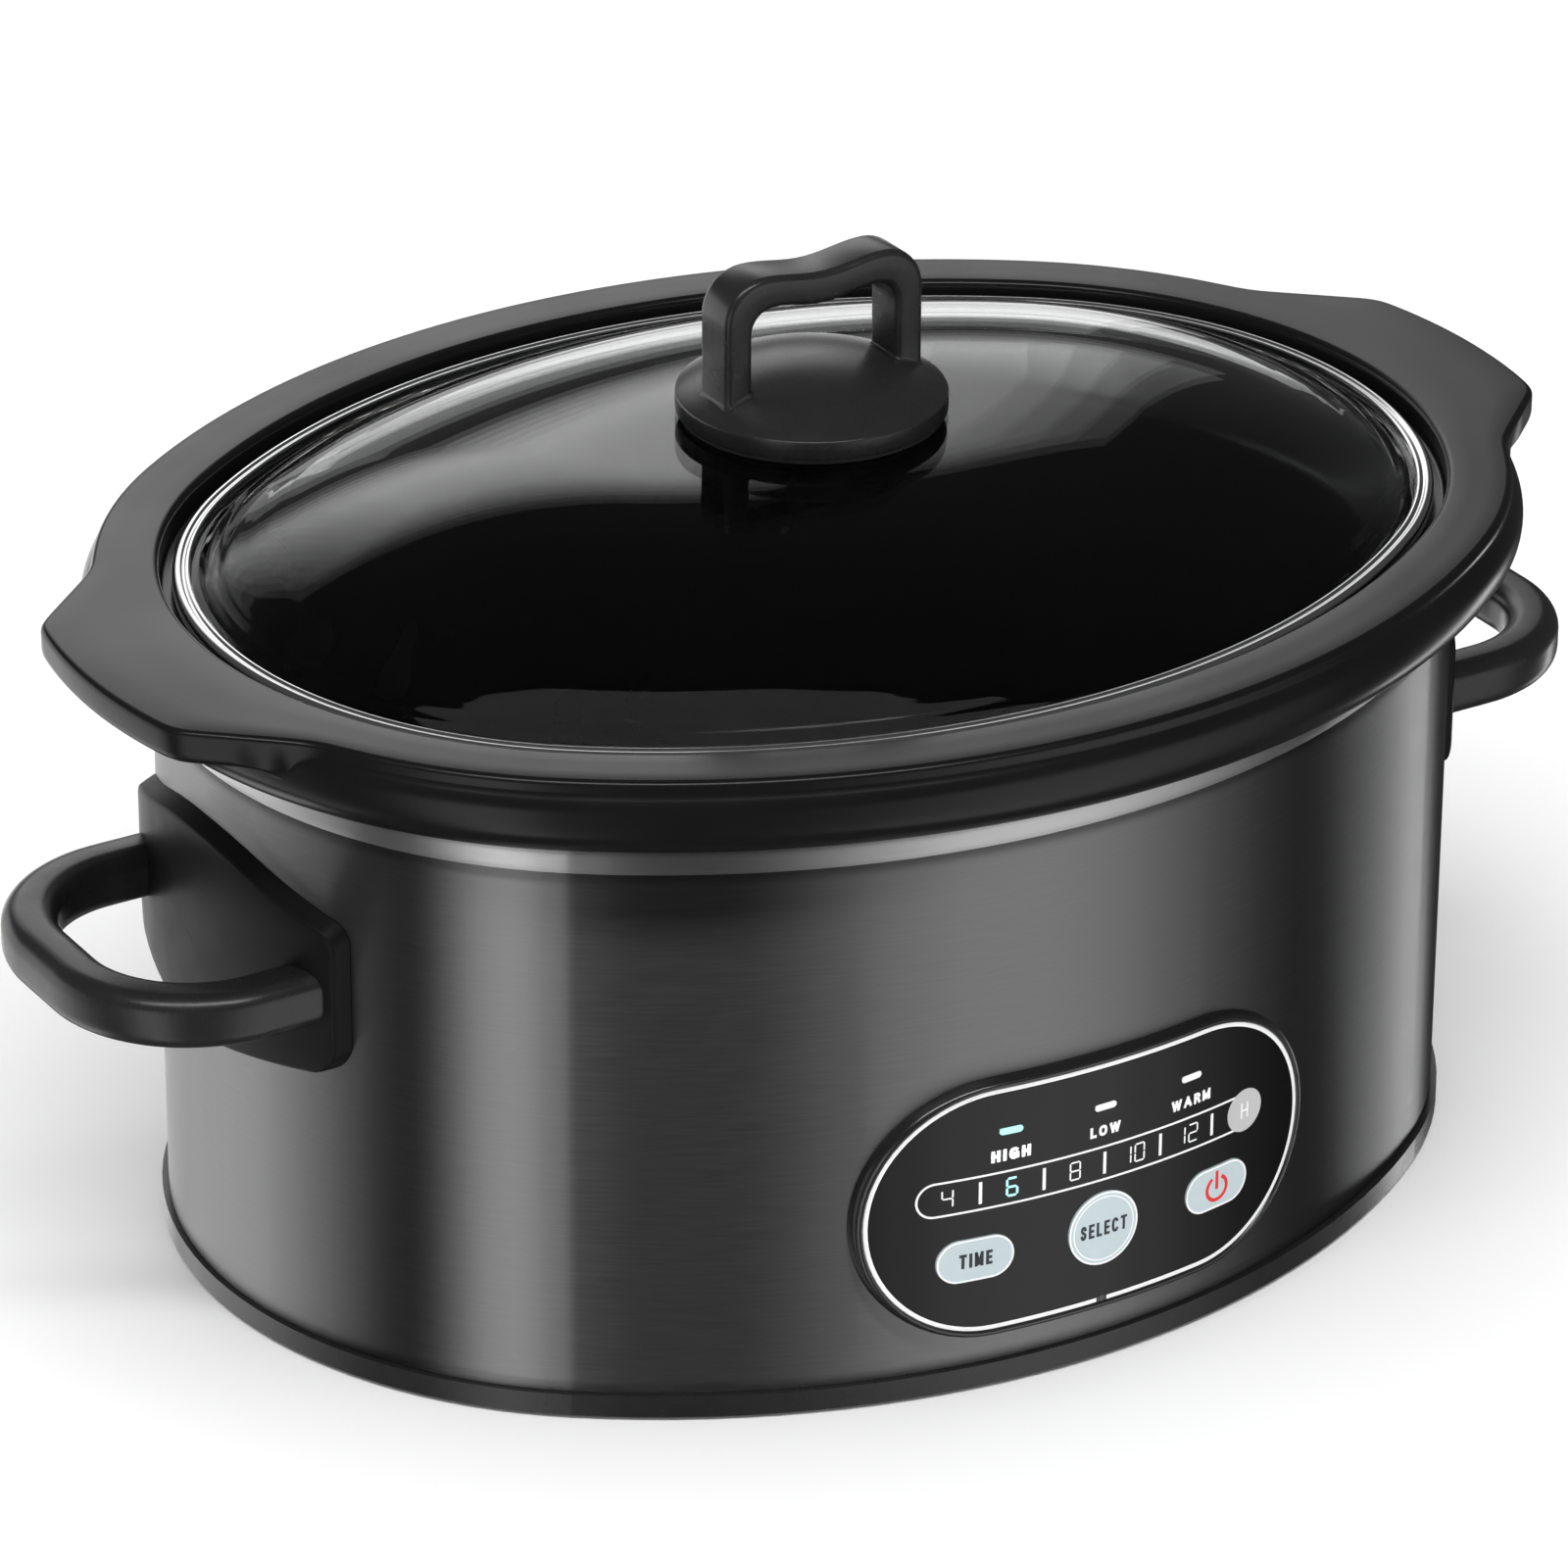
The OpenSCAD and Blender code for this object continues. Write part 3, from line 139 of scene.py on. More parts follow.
def makeStudio():
    c = cardSet
    for name, steps in lightCards.items():
        for k, (first, last, level) in enumerate(steps):
            uprightCard(f"{name}{k}", first, last, c["low"], c["high"], c["far"] + c["gap"] * k, level)
    for name, (turn, half, low, high, far, level) in smallCards.items():
        uprightCard(name, turn - half, turn + half, low, high, far, level)
    e = edgeStrip
    a, b = math.radians(e["turn"]), math.radians(e["rise"])
    flat = e["far"] * math.cos(b)
    place = (flat * math.sin(a), -flat * math.cos(a), e["far"] * math.sin(b))
    areaLight("edgeStrip", place, (0, 0, e["aim"]), e["size"], e["level"])
    t = topSoft
    areaLight("topSoft", t["place"], (0, 0, 0), t["size"], t["level"]).visible_glossy = False
    world = bpy.data.worlds.new("studio")
    world.use_nodes = True
    tree = world.node_tree
    link = tree.links.new
    soft = tree.nodes["Background"]
    fill(soft, {"Color": (1, 1, 1, 1), "Strength": skySet["soft"]})
    mirrored = addNode(tree, "Background", Color=(1, 1, 1, 1), Strength=skySet["mirrored"])
    rays = addNode(tree, "LightPath")
    mix = addNode(tree, "MixShader")
    link(rays.outputs["Is Glossy Ray"], mix.inputs[0])
    link(soft.outputs[0], mix.inputs[1])
    link(mirrored.outputs[0], mix.inputs[2])
    link(mix.outputs[0], tree.nodes["World Output"].inputs["Surface"])
    scene.world = world
    mesh = bpy.data.meshes.new("floor")
    bm = bmesh.new()
    n = floorSet["cells"]
    bmesh.ops.create_grid(bm, x_segments=n, y_segments=n, size=floorSet["half"])
    bm.to_mesh(mesh)
    bm.free()
    floor = bpy.data.objects.new("floor", mesh)
    scene.collection.objects.link(floor)
    floor.visible_glossy = False
    floor.visible_shadow = False
    mat, tree, shader = newMaterial("floorPaper")
    fill(shader, {"Base Color": (*floorSet["tone"], 1), "Roughness": floorSet["rough"],
                  "Specular IOR Level": 0})
    mesh.materials.append(mat)
    scene.view_settings.view_transform = "Standard"


makeStudio()
print("studio ready")


# low and high: the colours that a slow noise mixes; rough: lowest and highest roughness; grain: the
# fine noise in cycles a metre along X, Y and Z; height: of that noise in millimetres; more can hold
# metallic, gloss: strength of the mirrored light, brushed: how far it spreads across the brushing,
# seam: millimetres over which the shading is evened out, and glow: colour and strength
def look(low, high, rough, grain, height, **more):
    # one number is a grey, or a grain that is the same along all three
    low, high, grain = [v if isinstance(v, tuple) else (v,) * 3 for v in (low, high, grain)]
    return {"low": low, "high": high, "rough": rough, "grain": grain, "height": height, **more}


finishSet = {
    "darkSteel": look((0.195, 0.195, 0.197), (0.275, 0.275, 0.277), (0.32, 0.37), (90, 90, 1900), 0.003,
                      metallic=1, brushed=0.985, seam=5),
    "bareSteel": look(0.68, 0.79, (0.4, 0.45), (60, 60, 1800), 0.001, metallic=1, brushed=0.94, seam=3),
    "lidSteel": look(0.78, 0.86, (0.16, 0.21), (60, 60, 900), 0.001, metallic=1),
    "zincSteel": look((0.5, 0.5, 0.48), (0.68, 0.68, 0.64), (0.25, 0.45), 300, 0.01, metallic=1),
    "wellAluminium": look((0.6, 0.6, 0.61), (0.74, 0.74, 0.75), (0.28, 0.42), (40, 40, 700), 0.01,
                          metallic=1),
    "heaterMica": look((0.42, 0.38, 0.3), (0.62, 0.58, 0.48), (0.6, 0.85), 900, 0.05),
    "fuseCeramic": look((0.7, 0.66, 0.56), (0.8, 0.77, 0.68), (0.5, 0.7), 700, 0.02),
    "blackPlastic": look((0.012, 0.012, 0.0125), (0.016, 0.016, 0.0165), (0.25, 0.3), 1500, 0.002),
    # a copy of the black plastic for the side plates: its lower tone is painted shade, its rougher, weaker
    # gloss a matt face
    "mattPlastic": look((0.006, 0.006, 0.0065), (0.009, 0.009, 0.0095), (0.36, 0.42), 1500, 0.002,
                        gloss=0.09),
    "bezelPlastic": look((0.008, 0.008, 0.0085), (0.011, 0.011, 0.0115), (0.2, 0.24), 1200, 0.001,
                         gloss=0.9),
    "faceGloss": look((0.002, 0.002, 0.0022), (0.0035, 0.0035, 0.0038), (0.15, 0.18), 300, 0.0004,
                      gloss=0.4),
    "lightBar": look((0.8, 0.82, 0.82), (0.9, 0.92, 0.92), (0.3, 0.4), 900, 0.002),
    "keyGrey": look((0.5, 0.59, 0.62), (0.55, 0.64, 0.67), (0.42, 0.5), 1500, 0.002),
    # the white print's faint glow is painted brightness; the print is no lamp
    "printWhite": look(0.8, 0.86, (0.45, 0.55), 2200, 0.0005, glow=((1, 1, 1), 0.1)),
    "printPale": look(0.5, 0.56, (0.45, 0.55), 2200, 0.0005),
    "printGrey": look(0.06, 0.09, (0.4, 0.5), 2200, 0.0005),
    "printDark": look((0.02, 0.022, 0.025), (0.034, 0.036, 0.04), (0.45, 0.55), 2200, 0.0005),
    "printRed": look((0.7, 0.012, 0.016), (0.82, 0.02, 0.024), (0.4, 0.5), 2200, 0.0005),
    "litWhite": look((0.85, 0.86, 0.86), 0.9, (0.4, 0.5), 2200, 0.0005, glow=((0.95, 1, 1), 1.1)),
    "litCyan": look((0.34, 0.66, 0.68), (0.4, 0.74, 0.74), (0.35, 0.45), 1800, 0.001,
                    glow=((0.38, 0.95, 0.92), 0.55)),
    "rubber": look(0.012, 0.02, (0.7, 0.85), 800, 0.02),
    "board": look((0.01, 0.09, 0.04), (0.02, 0.13, 0.06), (0.3, 0.45), 400, 0.01),
    "chip": look((0.015, 0.015, 0.016), 0.03, (0.45, 0.6), 1200, 0.01),
    "led": look((0.75, 0.75, 0.6), (0.85, 0.85, 0.72), (0.15, 0.25), 500, 0.004),
    "transformerTape": look((0.6, 0.42, 0.05), (0.72, 0.52, 0.08), (0.2, 0.4), (90, 90, 700), 0.03),
    "relayBlue": look((0.02, 0.07, 0.26), (0.03, 0.1, 0.34), (0.25, 0.35), 600, 0.01),
    "filmYellow": look((0.6, 0.42, 0.03), (0.7, 0.5, 0.05), (0.25, 0.4), 500, 0.02),
    "terminalGreen": look((0.03, 0.2, 0.08), (0.05, 0.27, 0.12), (0.4, 0.5), 900, 0.01),
    "wireWhite": look((0.7, 0.7, 0.66), (0.8, 0.8, 0.76), (0.45, 0.6), 1200, 0.02),
    "wireBrown": look((0.12, 0.045, 0.015), (0.18, 0.07, 0.025), (0.35, 0.5), 900, 0.01),
    "ribbonGrey": look((0.35, 0.35, 0.37), (0.5, 0.5, 0.52), (0.4, 0.5), (900, 30, 30), 0.15),
    "stoneware": look((0.004, 0.004, 0.0045), (0.007, 0.007, 0.0075), (0.22, 0.28), 160, 0.004,
                      gloss=0.3),
}

# fine and slow: detail of the two noises; share and least: the slow noise's stretch from the fine one's
noiseSet = {"fine": 3, "slow": 2, "share": 0.06, "least": 12, "low": 0.3, "high": 0.7}
brushSet = {"rotation": 0.25, "samples": 6}


# noise in the cooker's own coordinates, stretched along each axis
def addNoise(tree, stretch, detail):
    coords = addNode(tree, "TexCoord")
    mapping = addNode(tree, "Mapping", Scale=stretch)
    noise = addNode(tree, "TexNoise", Scale=1, Detail=detail)
    tree.links.new(coords.outputs["Object"], mapping.inputs["Vector"])
    tree.links.new(mapping.outputs["Vector"], noise.inputs["Vector"])
    return noise.outputs["Fac"]


def spread(tree, value, low, high):
    part = addNode(tree, "MapRange")
    fill(part, {"From Min": noiseSet["low"], "From Max": noiseSet["high"], "To Min": low, "To Max": high})
    tree.links.new(value, part.inputs["Value"])
    return part.outputs["Result"]


def makeFinish(name, s):
    mat, tree, shader = newMaterial(name)
    link = tree.links.new
    fill(shader, {"Metallic": s.get("metallic", 0), "Specular IOR Level": s.get("gloss", 0.5)})
    grain = addNoise(tree, s["grain"], noiseSet["fine"])
    slow = [g * noiseSet["share"] + noiseSet["least"] for g in s["grain"]]
    clouds = addNoise(tree, slow, noiseSet["slow"])
    pattern = grain if "brushed" in s else clouds
    mix = addNode(tree, "Mix")
    mix.data_type = "RGBA"
    mix.inputs[6].default_value = (*s["low"], 1)
    mix.inputs[7].default_value = (*s["high"], 1)
    link(pattern, mix.inputs[0])
    link(mix.outputs[2], shader.inputs["Base Color"])
    link(spread(tree, pattern, *s["rough"]), shader.inputs["Roughness"])
    if "glow" in s:
        fill(shader, {"Emission Color": (*s["glow"][0], 1), "Emission Strength": s["glow"][1]})
    bump = addNode(tree, "Bump", Strength=1, Distance=s["height"] * mm)
    link(grain, bump.inputs["Height"])
    link(bump.outputs["Normal"], shader.inputs["Normal"])
    if "seam" in s:
        # evens out the shading where two arcs of the wrap meet
        seam = addNode(tree, "Bevel", Radius=s["seam"] * mm)
        seam.samples = brushSet["samples"]
        link(seam.outputs["Normal"], bump.inputs["Normal"])
    if "brushed" in s:
        fill(shader, {"Anisotropic": s["brushed"], "Anisotropic Rotation": brushSet["rotation"]})
        tangent = addNode(tree, "Tangent")
        tangent.direction_type = "RADIAL"
        tangent.axis = "Z"
        link(tangent.outputs["Tangent"], shader.inputs["Tangent"])
    return mat


finishes = {name: makeFinish(name, s) for name, s in finishSet.items()}
glassLook = {"tint": (0.97, 0.985, 0.98), "bend": 1.22, "gloss": 0.4, "grain": (40, 40, 40),
             "rough": (0.0, 0.02)}


def makeGlass():
    s = glassLook
    mat, tree, shader = newMaterial("clearGlass")
    fill(shader, {"Base Color": (*s["tint"], 1), "IOR": s["bend"],
                  "Transmission Weight": 1, "Specular IOR Level": s["gloss"]})
    clouds = addNoise(tree, s["grain"], noiseSet["slow"])
    tree.links.new(spread(tree, clouds, *s["rough"]), shader.inputs["Roughness"])
    return mat


finishes["clearGlass"] = makeGlass()
# a slot's finish has the slot's name, such as darkSteel for dark_steel
for part in frame["record"]["subparts"]:
    node = frame["nodes"][part["node"]]
    first, *rest = part["material_slot"].split("_")
    mat = finishes[first + "".join(word.title() for word in rest)]
    if node.material_slots:
        for place in node.material_slots:
            place.material = mat
    else:
        node.data.materials.append(mat)
print("finishes ready:", len(finishes))


# all the lengths from here on are in millimetres; the oval's radii follow from the wrap's own size
def boxOf(node):
    low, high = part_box(node)
    return low / mm, high / mm


wrapHigh = boxOf("outer_shell")[1]
crockLow, crockHigh = boxOf("crock")
ringLow, ringHigh = boxOf("lid_rim")
glassLow, glassHigh = boxOf("lid_glass")
halfLong, halfWide = wrapHigh.x, wrapHigh.y
endRadius = (3 * halfWide - halfLong) / 2
endCentre = halfLong - endRadius
sideRadius = 2 * halfLong - halfWide
sideCentre = sideRadius - halfWide
arcsMeet = 0.8         # sine of the direction in which an end arc meets a side arc
lugTurns = (8, 34)     # directions between which the lugs bend, in degrees


# point of the oval whose outward direction is turn, at an offset outside the wrap
def ovalPoint(turn, off, z):
    c, s = math.cos(turn), math.sin(turn)
    if abs(s) < arcsMeet:
        return (math.copysign(endCentre, c) + (endRadius + off) * c, (endRadius + off) * s, z)
    return ((sideRadius + off) * c, -math.copysign(sideCentre, s) + (sideRadius + off) * s, z)


# directions round the oval, closer together where the lugs bend; the two steps are in degrees
def ovalTurns(fine=0.5, coarse=1.5):
    quarter = []
    a = 0.0
    while a < 90:
        quarter.append(a)
        a += fine if lugTurns[0] <= a < lugTurns[1] else coarse
    turns = [t for a in quarter + [90] for t in (a, 180 - a, 180 + a, 360 - a)]
    return [math.radians(a) for a in sorted(set(round(t % 360, 4) for t in turns))]


# points of an arc in the section plane, from one angle to another in degrees
def arc(centre, radius, start, stop, steps):
    turns = [math.radians(start + (stop - start) * k / steps) for k in range(steps + 1)]
    return [(centre[0] + radius * math.cos(a), centre[1] + radius * math.sin(a)) for a in turns]


# rows of points joined by four-sided faces; wrapped rows close on themselves
def lattice(rows, closeRows, closePoints):
    wide = len(rows[0])
    faces = []
    for i in range(len(rows) if closeRows else len(rows) - 1):
        j = (i + 1) % len(rows)
        for k in range(wide if closePoints else wide - 1):
            m = (k + 1) % wide
            faces.append((i * wide + k, j * wide + k, j * wide + m, i * wide + m))
    return [p for row in rows for p in row], faces


# rows closed into a tube, with a flat face over each end
def capped(rows):
    points, faces = lattice(rows, False, True)
    wide = len(rows[0])
    return points, faces + [tuple(range(wide)), tuple(range(len(points) - wide, len(points)))]


# rows closed round an axis, with a flat face over each side where the section ends
def sideCapped(rows):
    points, faces = lattice(rows, True, False)
    wide = len(rows[0])
    ends = [tuple(i * wide for i in range(len(rows))), tuple(i * wide + wide - 1 for i in range(len(rows)))]
    return points, faces + ends


# rectangle of half sizes a and b with its corners rounded
def roundedBar(a, b, r, steps):
    corners = ((a - r, b - r, 0), (-a + r, b - r, 90), (-a + r, -b + r, 180), (a - r, -b + r, 270))
    return [p for x, y, start in corners for p in arc((x, y), r, start, start + 90, steps)]


def joined(*shells):
    points, faces = [], []
    for more, cells in shells:
        start = len(points)
        points += more
        faces += [tuple(v + start for v in cell) for cell in cells]
    return points, faces


weldSet = {"points": 0.002, "edges": 0.001}   # in millimetres, closer than this they merge


def addPiece(name, shell, finish, body, nodes=(), sharp=40):
    mesh = bpy.data.meshes.new(name)
    mesh.from_pydata([Vector(p) * mm for p in shell[0]], [], shell[1])
    bm = bmesh.new()
    bm.from_mesh(mesh)
    bmesh.ops.remove_doubles(bm, verts=bm.verts, dist=weldSet["points"] * mm)
    bmesh.ops.dissolve_degenerate(bm, edges=bm.edges, dist=weldSet["edges"] * mm)
    bmesh.ops.recalc_face_normals(bm, faces=bm.faces)
    bm.to_mesh(mesh)
    bm.free()
    mesh.shade_smooth()
    mesh.set_sharp_from_angle(angle=math.radians(sharp))
    mesh.materials.append(finishes[finish])
    piece = bpy.data.objects.new(name, mesh)
    scene.collection.objects.link(piece)
    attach(piece, body)
    if nodes:
        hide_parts(*nodes)


# section swept round the oval, with flat caps over an open section's two ends
def ovalSweep(turns, section, closed):
    rows = [[ovalPoint(t, off, z) for off, z in section(t)] for t in turns]
    return lattice(rows, True, True) if closed else sideCapped(rows)


# offsets are measured outwards from the wrap's line; heights marked Drop are below the rim's top; swell,
# lip and footEnd are small steps off the wall, the ledge and the seat
crockSet = {"wall": 7, "outer": -17.5, "corner": 16, "shoulder": 16, "ledgeDrop": 7.4, "ledgeIn": -12,
            "innerEdge": -2.6, "edgeRound": 1.8, "flat": 13.8, "rollDrop": 0.3, "roll": 10, "bulge": 16.87,
            "foot": 0.4, "seatDrop": 24.7, "lugReach": 30.6, "lugTip": 34.5, "lugRoot": 57.5,
            "lugThick": 8.9, "lugBevel": 3.0, "lugSoft": 1.05, "lugEnd": 50, "lugBlend": 6, "tuck": 1.6,
            "tuckShare": 0.45, "glazeFillet": 0.9, "filletLeast": 0.1, "filletSpare": 0.05, "rollStart": 3,
            "ledgeRound": 1, "innerRound": 1.2, "footRound": 1.2, "seatRound": 0.8,
            "swell": ((0, -4), (0.25, -1.5), (1.8, 1.6)), "lip": ((-1.6, -4.4), (-0.3, -2.6)),
            "footEnd": ((0.4, 0.3), (-0.2, 0))}


# how far the flat top reaches out at a direction, lugs included
def rimReach(turn):
    s = crockSet
    fold = math.asin(min(1, abs(math.sin(turn))))
    tip = endRadius + s["lugReach"]
    root = endRadius + s["flat"]
    a = math.asin(s["lugTip"] / tip)
    ax, ay = tip * math.cos(a), s["lugTip"]
    bx, by = math.sqrt(root ** 2 - s["lugRoot"] ** 2), s["lugRoot"]
    if fold > math.radians(s["lugEnd"]):
        return s["flat"]
    # distance along the ray at which it meets the lug's straight flank; the bounds keep it finite
    nx, ny = by - ay, ax - bx
    along = (ax * nx + ay * ny) / max(0.2, math.cos(fold) * nx + math.sin(fold) * ny) if nx else tip
    k = s["lugSoft"]
    inner = -k * math.log(math.exp(-(tip - root) / k) + math.exp(-max(-30, min(60, along - root)) / k))
    return s["flat"] + k * math.log(1 + math.exp(inner / k))


def crockSection(turn):
    s = crockSet
    top = crockHigh.z
    ledge = top - s["ledgeDrop"]
    seat = top - s["seatDrop"]
    inner = s["outer"] - s["wall"]
    floor = crockLow.z + s["wall"]
    soft = s["corner"] - s["wall"]
    e = s["edgeRound"]
    rollMid = (s["bulge"] - s["roll"], top - s["rollDrop"] - s["roll"])
    run = Vector((s["foot"], seat)) - Vector(rollMid)
    taper = math.degrees(math.atan2(run.y, run.x) + math.acos(s["roll"] / run.length))
    lugLow = top - s["lugThick"]
    lugFoot = rollMid[0] + math.sqrt(s["roll"] ** 2 - (lugLow - rollMid[1]) ** 2)

    def rollZ(off):
        return rollMid[1] + math.sqrt(max(0, s["roll"] ** 2 - max(0, off - rollMid[0]) ** 2))

    reach = rimReach(turn)
    t = max(0, min(1, (reach - lugFoot) / s["lugBlend"]))
    t = t * t * (3 - 2 * t)
    foot = min(reach, lugFoot)

    def blend(plain, lug):
        return tuple((1 - t) * p + t * q for p, q in zip(plain, lug))

    path = arc((inner - soft, floor + soft), soft, -90, 0, 6)
    path += [(inner + dx, ledge - s["shoulder"] + dz) for dx, dz in s["swell"]]
    path += [(s["ledgeIn"] + dx, ledge + dz) for dx, dz in s["lip"]]
    r = s["ledgeRound"]
    path += arc((s["ledgeIn"] + r, ledge - r), r, 180, 90, 4)
    r = s["innerRound"]
    path += arc((s["innerEdge"] - r, ledge + r), r, -90, 0, 4)
    path += arc((s["innerEdge"] + e, top - e), e, 180, 90, 6)
    path += [(s["innerEdge"] + e + (reach - s["innerEdge"] - 2 * e) * k / 3, top) for k in (1, 2)]
    path += arc((reach - e, top - e), e, 90, 0, 6)
    # down the side: into the roll through a fillet, or round the lug's lower edge
    g = min(s["glazeFillet"], max(s["filletLeast"], s["bulge"] - foot - s["filletSpare"]))
    b = min(s["lugBevel"], max(0, reach - lugFoot) / 2)
    tuck = min(s["tuck"], s["tuckShare"] * max(0, reach - lugFoot))
    a0, a1, a2 = (foot, rollZ(foot) + g), (foot, rollZ(foot)), (foot + g, rollZ(foot + g))
    for k in range(5):
        u = k / 4
        fillet = [(1 - u) ** 2 * p + 2 * u * (1 - u) * q + u * u * r for p, q, r in zip(a0, a1, a2)]
        w = math.radians(-90 * u)
        bevel = (reach - b + b * math.cos(w), lugLow + b + b * math.sin(w))
        path.append(blend(fillet, bevel))
    start = math.degrees(math.acos(max(0, min(1, (foot + g - rollMid[0]) / s["roll"]))))
    start = (start - s["rollStart"]) * (1 - t) + s["rollStart"] * t
    # two points that lead onto the roll, or in under the lug
    for u in (0, 0.5):
        w = math.radians(start + 2 - u)
        on = (rollMid[0] + s["roll"] * math.cos(w), rollMid[1] + s["roll"] * math.sin(w))
        under = (lugFoot + tuck * (1 - 1.5 * u), lugLow - 0.5 * u * u)
        path.append(blend(on, under))
    path += arc(rollMid, s["roll"], start, taper, 20)
    r, w = s["footRound"], math.radians(taper + 90)
    path.append((s["foot"] + r * math.cos(w), seat + r * math.sin(w)))
    path += [(s["foot"] + dx, seat + dz) for dx, dz in s["footEnd"]]
    r = s["seatRound"]
    path += arc((s["outer"] + r, seat - r), r, 90, 180, 3)
    path += arc((s["outer"] - s["corner"], crockLow.z + s["corner"]), s["corner"], 0, -90, 8)
    return path


addPiece("crockPot", ovalSweep(ovalTurns(), crockSection, False), "stoneware", "crock",
         ["crock"], sharp=60)
print("crock made")

# the steel ring is rolled round the glass edge, with a bead along each side of its top
ringSet = {"sheet": 0.9, "outerRound": 1.7, "beadDip": 0.45, "width": 4.3, "lipGap": 0.15,
           "roll": ((0, 0.3), (0.25, 0.06), (0.6, 0), (0.95, 0.08)),
           "bead": ((1.25, 0.8), (1.6, 1), (1.95, 0.8)), "outerTop": (2.25, 0.08),
           "cut": 0.2, "crease": 0.1, "sag": (1.6, 0.12)}


def ringSection(turn):
    s = ringSet
    outer = ringHigh.x - halfLong
    inner = outer - s["width"]
    top, low, r = ringHigh.z, ringLow.z, s["outerRound"]
    path = [(inner, top - s["sheet"] + s["lipGap"])]
    path += [(inner + dx, top - dz) for dx, dz in s["roll"]]
    path += [(inner + dx, top - s["beadDip"] * share) for dx, share in s["bead"]]
    path.append((inner + s["outerTop"][0], top - s["outerTop"][1]))
    path += arc((outer - r, top - r), r, 90, 0, 6)
    path += arc((outer - r, low + r), r, 0, -90, 6)
    t, c = s["sheet"], s["cut"]
    path += [(inner + c, low), (inner, low + c), (inner, low + t - c)]
    path += [(inner + s["crease"], low + t), (outer - r, low + t)]
    path += arc((outer - r, low + r), r - t, -90, 0, 3)[1:]
    path += arc((outer - r, top - r), r - t, 0, 90, 3)
    path += [(inner + s["sag"][0], top - t - s["sag"][1]), (inner + s["crease"], top - t)]
    return path


addPiece("lidRing", ovalSweep(ovalTurns(1, 1), ringSection, True), "lidSteel", "lid",
         ["lid_rim"])

# steps: low moulded ones near the edge of the dome, with offset, height and half width
glassSet = {"thick": 4, "edgeOut": -6.8, "edgeIn": -12, "hole": 3.2, "edgeHigh": 2.8, "overlap": 3,
            "edgeCut": 0.4, "ringGap": 0.4, "rings": 45, "near": 18, "innerRings": 14,
            "steps": ((-14.6, 0.22, 0.9), (-17.4, -0.16, 1.0), (-21, 0.05, 1.6))}


def glassShell():
    s = glassSet
    edgeTop = glassLow.z + s["edgeHigh"]
    crown = glassHigh.z
    rise = crown - edgeTop
    centreOff = s["overlap"] - endRadius
    span = s["edgeIn"] - centreOff
    radius = (span ** 2 + rise ** 2) / (2 * rise)

    def domeZ(off, r):
        return crown - radius + math.sqrt(r * r - (off - centreOff) ** 2)

    near, n, cut = s["near"], s["innerRings"], s["edgeCut"]
    offs = [s["edgeIn"] - s["ringGap"] * k for k in range(1, s["rings"] + 1)]
    offs += [s["edgeIn"] - near - (span - near) * k / n for k in range(1, n)] + [centreOff]
    top = [(off, domeZ(off, radius) + sum(h * math.exp(-((off - o) / w) ** 2) for o, h, w in s["steps"]))
           for off in offs]
    under = [(off, domeZ(off, radius - s["thick"])) for off in reversed(offs)]
    outer = [(s["edgeIn"], glassLow.z), (s["edgeOut"] - cut, glassLow.z), (s["edgeOut"], glassLow.z + cut),
             (s["edgeOut"], edgeTop - cut), (s["edgeOut"] - cut, edgeTop), (s["edgeIn"], edgeTop)]
    rows = []
    for t in ovalTurns(1, 1):
        row = [ovalPoint(t, off, z) for off, z in under + outer + top]
        x, y, z = row[-1]
        d = math.hypot(x, y)
        row += [(s["hole"] * x / d, s["hole"] * y / d, high) for high in (crown, crown - s["thick"])]
        rows.append(row)
    return lattice(rows, True, True)


addPiece("lidDome", glassShell(), "clearGlass", "lid", ["lid_glass"], sharp=50)
print("lid made")

knobLow, knobHigh = boxOf("lid_handle")
knobSet = {"radius": 33.8, "thick": 4.9, "dome": 8.8, "edge": 0.8, "foot": 0.7, "hole": 2.05,
           "holeDeep": 2.8, "rings": 16, "tip": 0.4}
bridgeSet = {"leg": 7.6, "grip": 8.4, "dip": 1.8, "corner": 11, "innerCorner": 6, "soft": 1.9,
             "fillet": 0.5, "half": 28.3, "depth": 13.4, "start": 10,
             "feet": ((-0.8, 1), (0, 1), (0.25, 0.45), (0.6, 0.12), (1.1, 0))}
domeRound = (knobSet["radius"] ** 2 + knobSet["dome"] ** 2) / (2 * knobSet["dome"])


# height of the disc's domed top above its edge
def knobRise(r):
    return math.sqrt(domeRound ** 2 - r * r) - domeRound + knobSet["dome"]


def lathe(section, steps=120):
    turns = [2 * math.pi * k / steps for k in range(steps)]
    return sideCapped([[(r * math.cos(a), r * math.sin(a), z) for r, z in section] for a in turns])


def discShell():
    s = knobSet
    low, high, r = knobLow.z, knobLow.z + s["thick"], s["radius"]
    path = [(s["hole"], low + s["holeDeep"]), (s["hole"], low)]
    path += arc((r - s["foot"], low + s["foot"]), s["foot"], -90, 0, 3)
    # the upper edge is rounded between the side and the dome
    slope = math.degrees(math.asin((r - s["edge"]) / domeRound))
    lean = r - s["edge"]
    shoulder = high + knobRise(lean) - s["edge"] / math.cos(math.radians(slope))
    path += arc((lean, shoulder), s["edge"], 0, 90 - slope, 5)
    n = s["rings"]
    path += [(lean * (1 - k / n), high + knobRise(lean * (1 - k / n))) for k in range(1, n)]
    path += [(s["tip"], high + s["dome"])]
    return lathe(path)


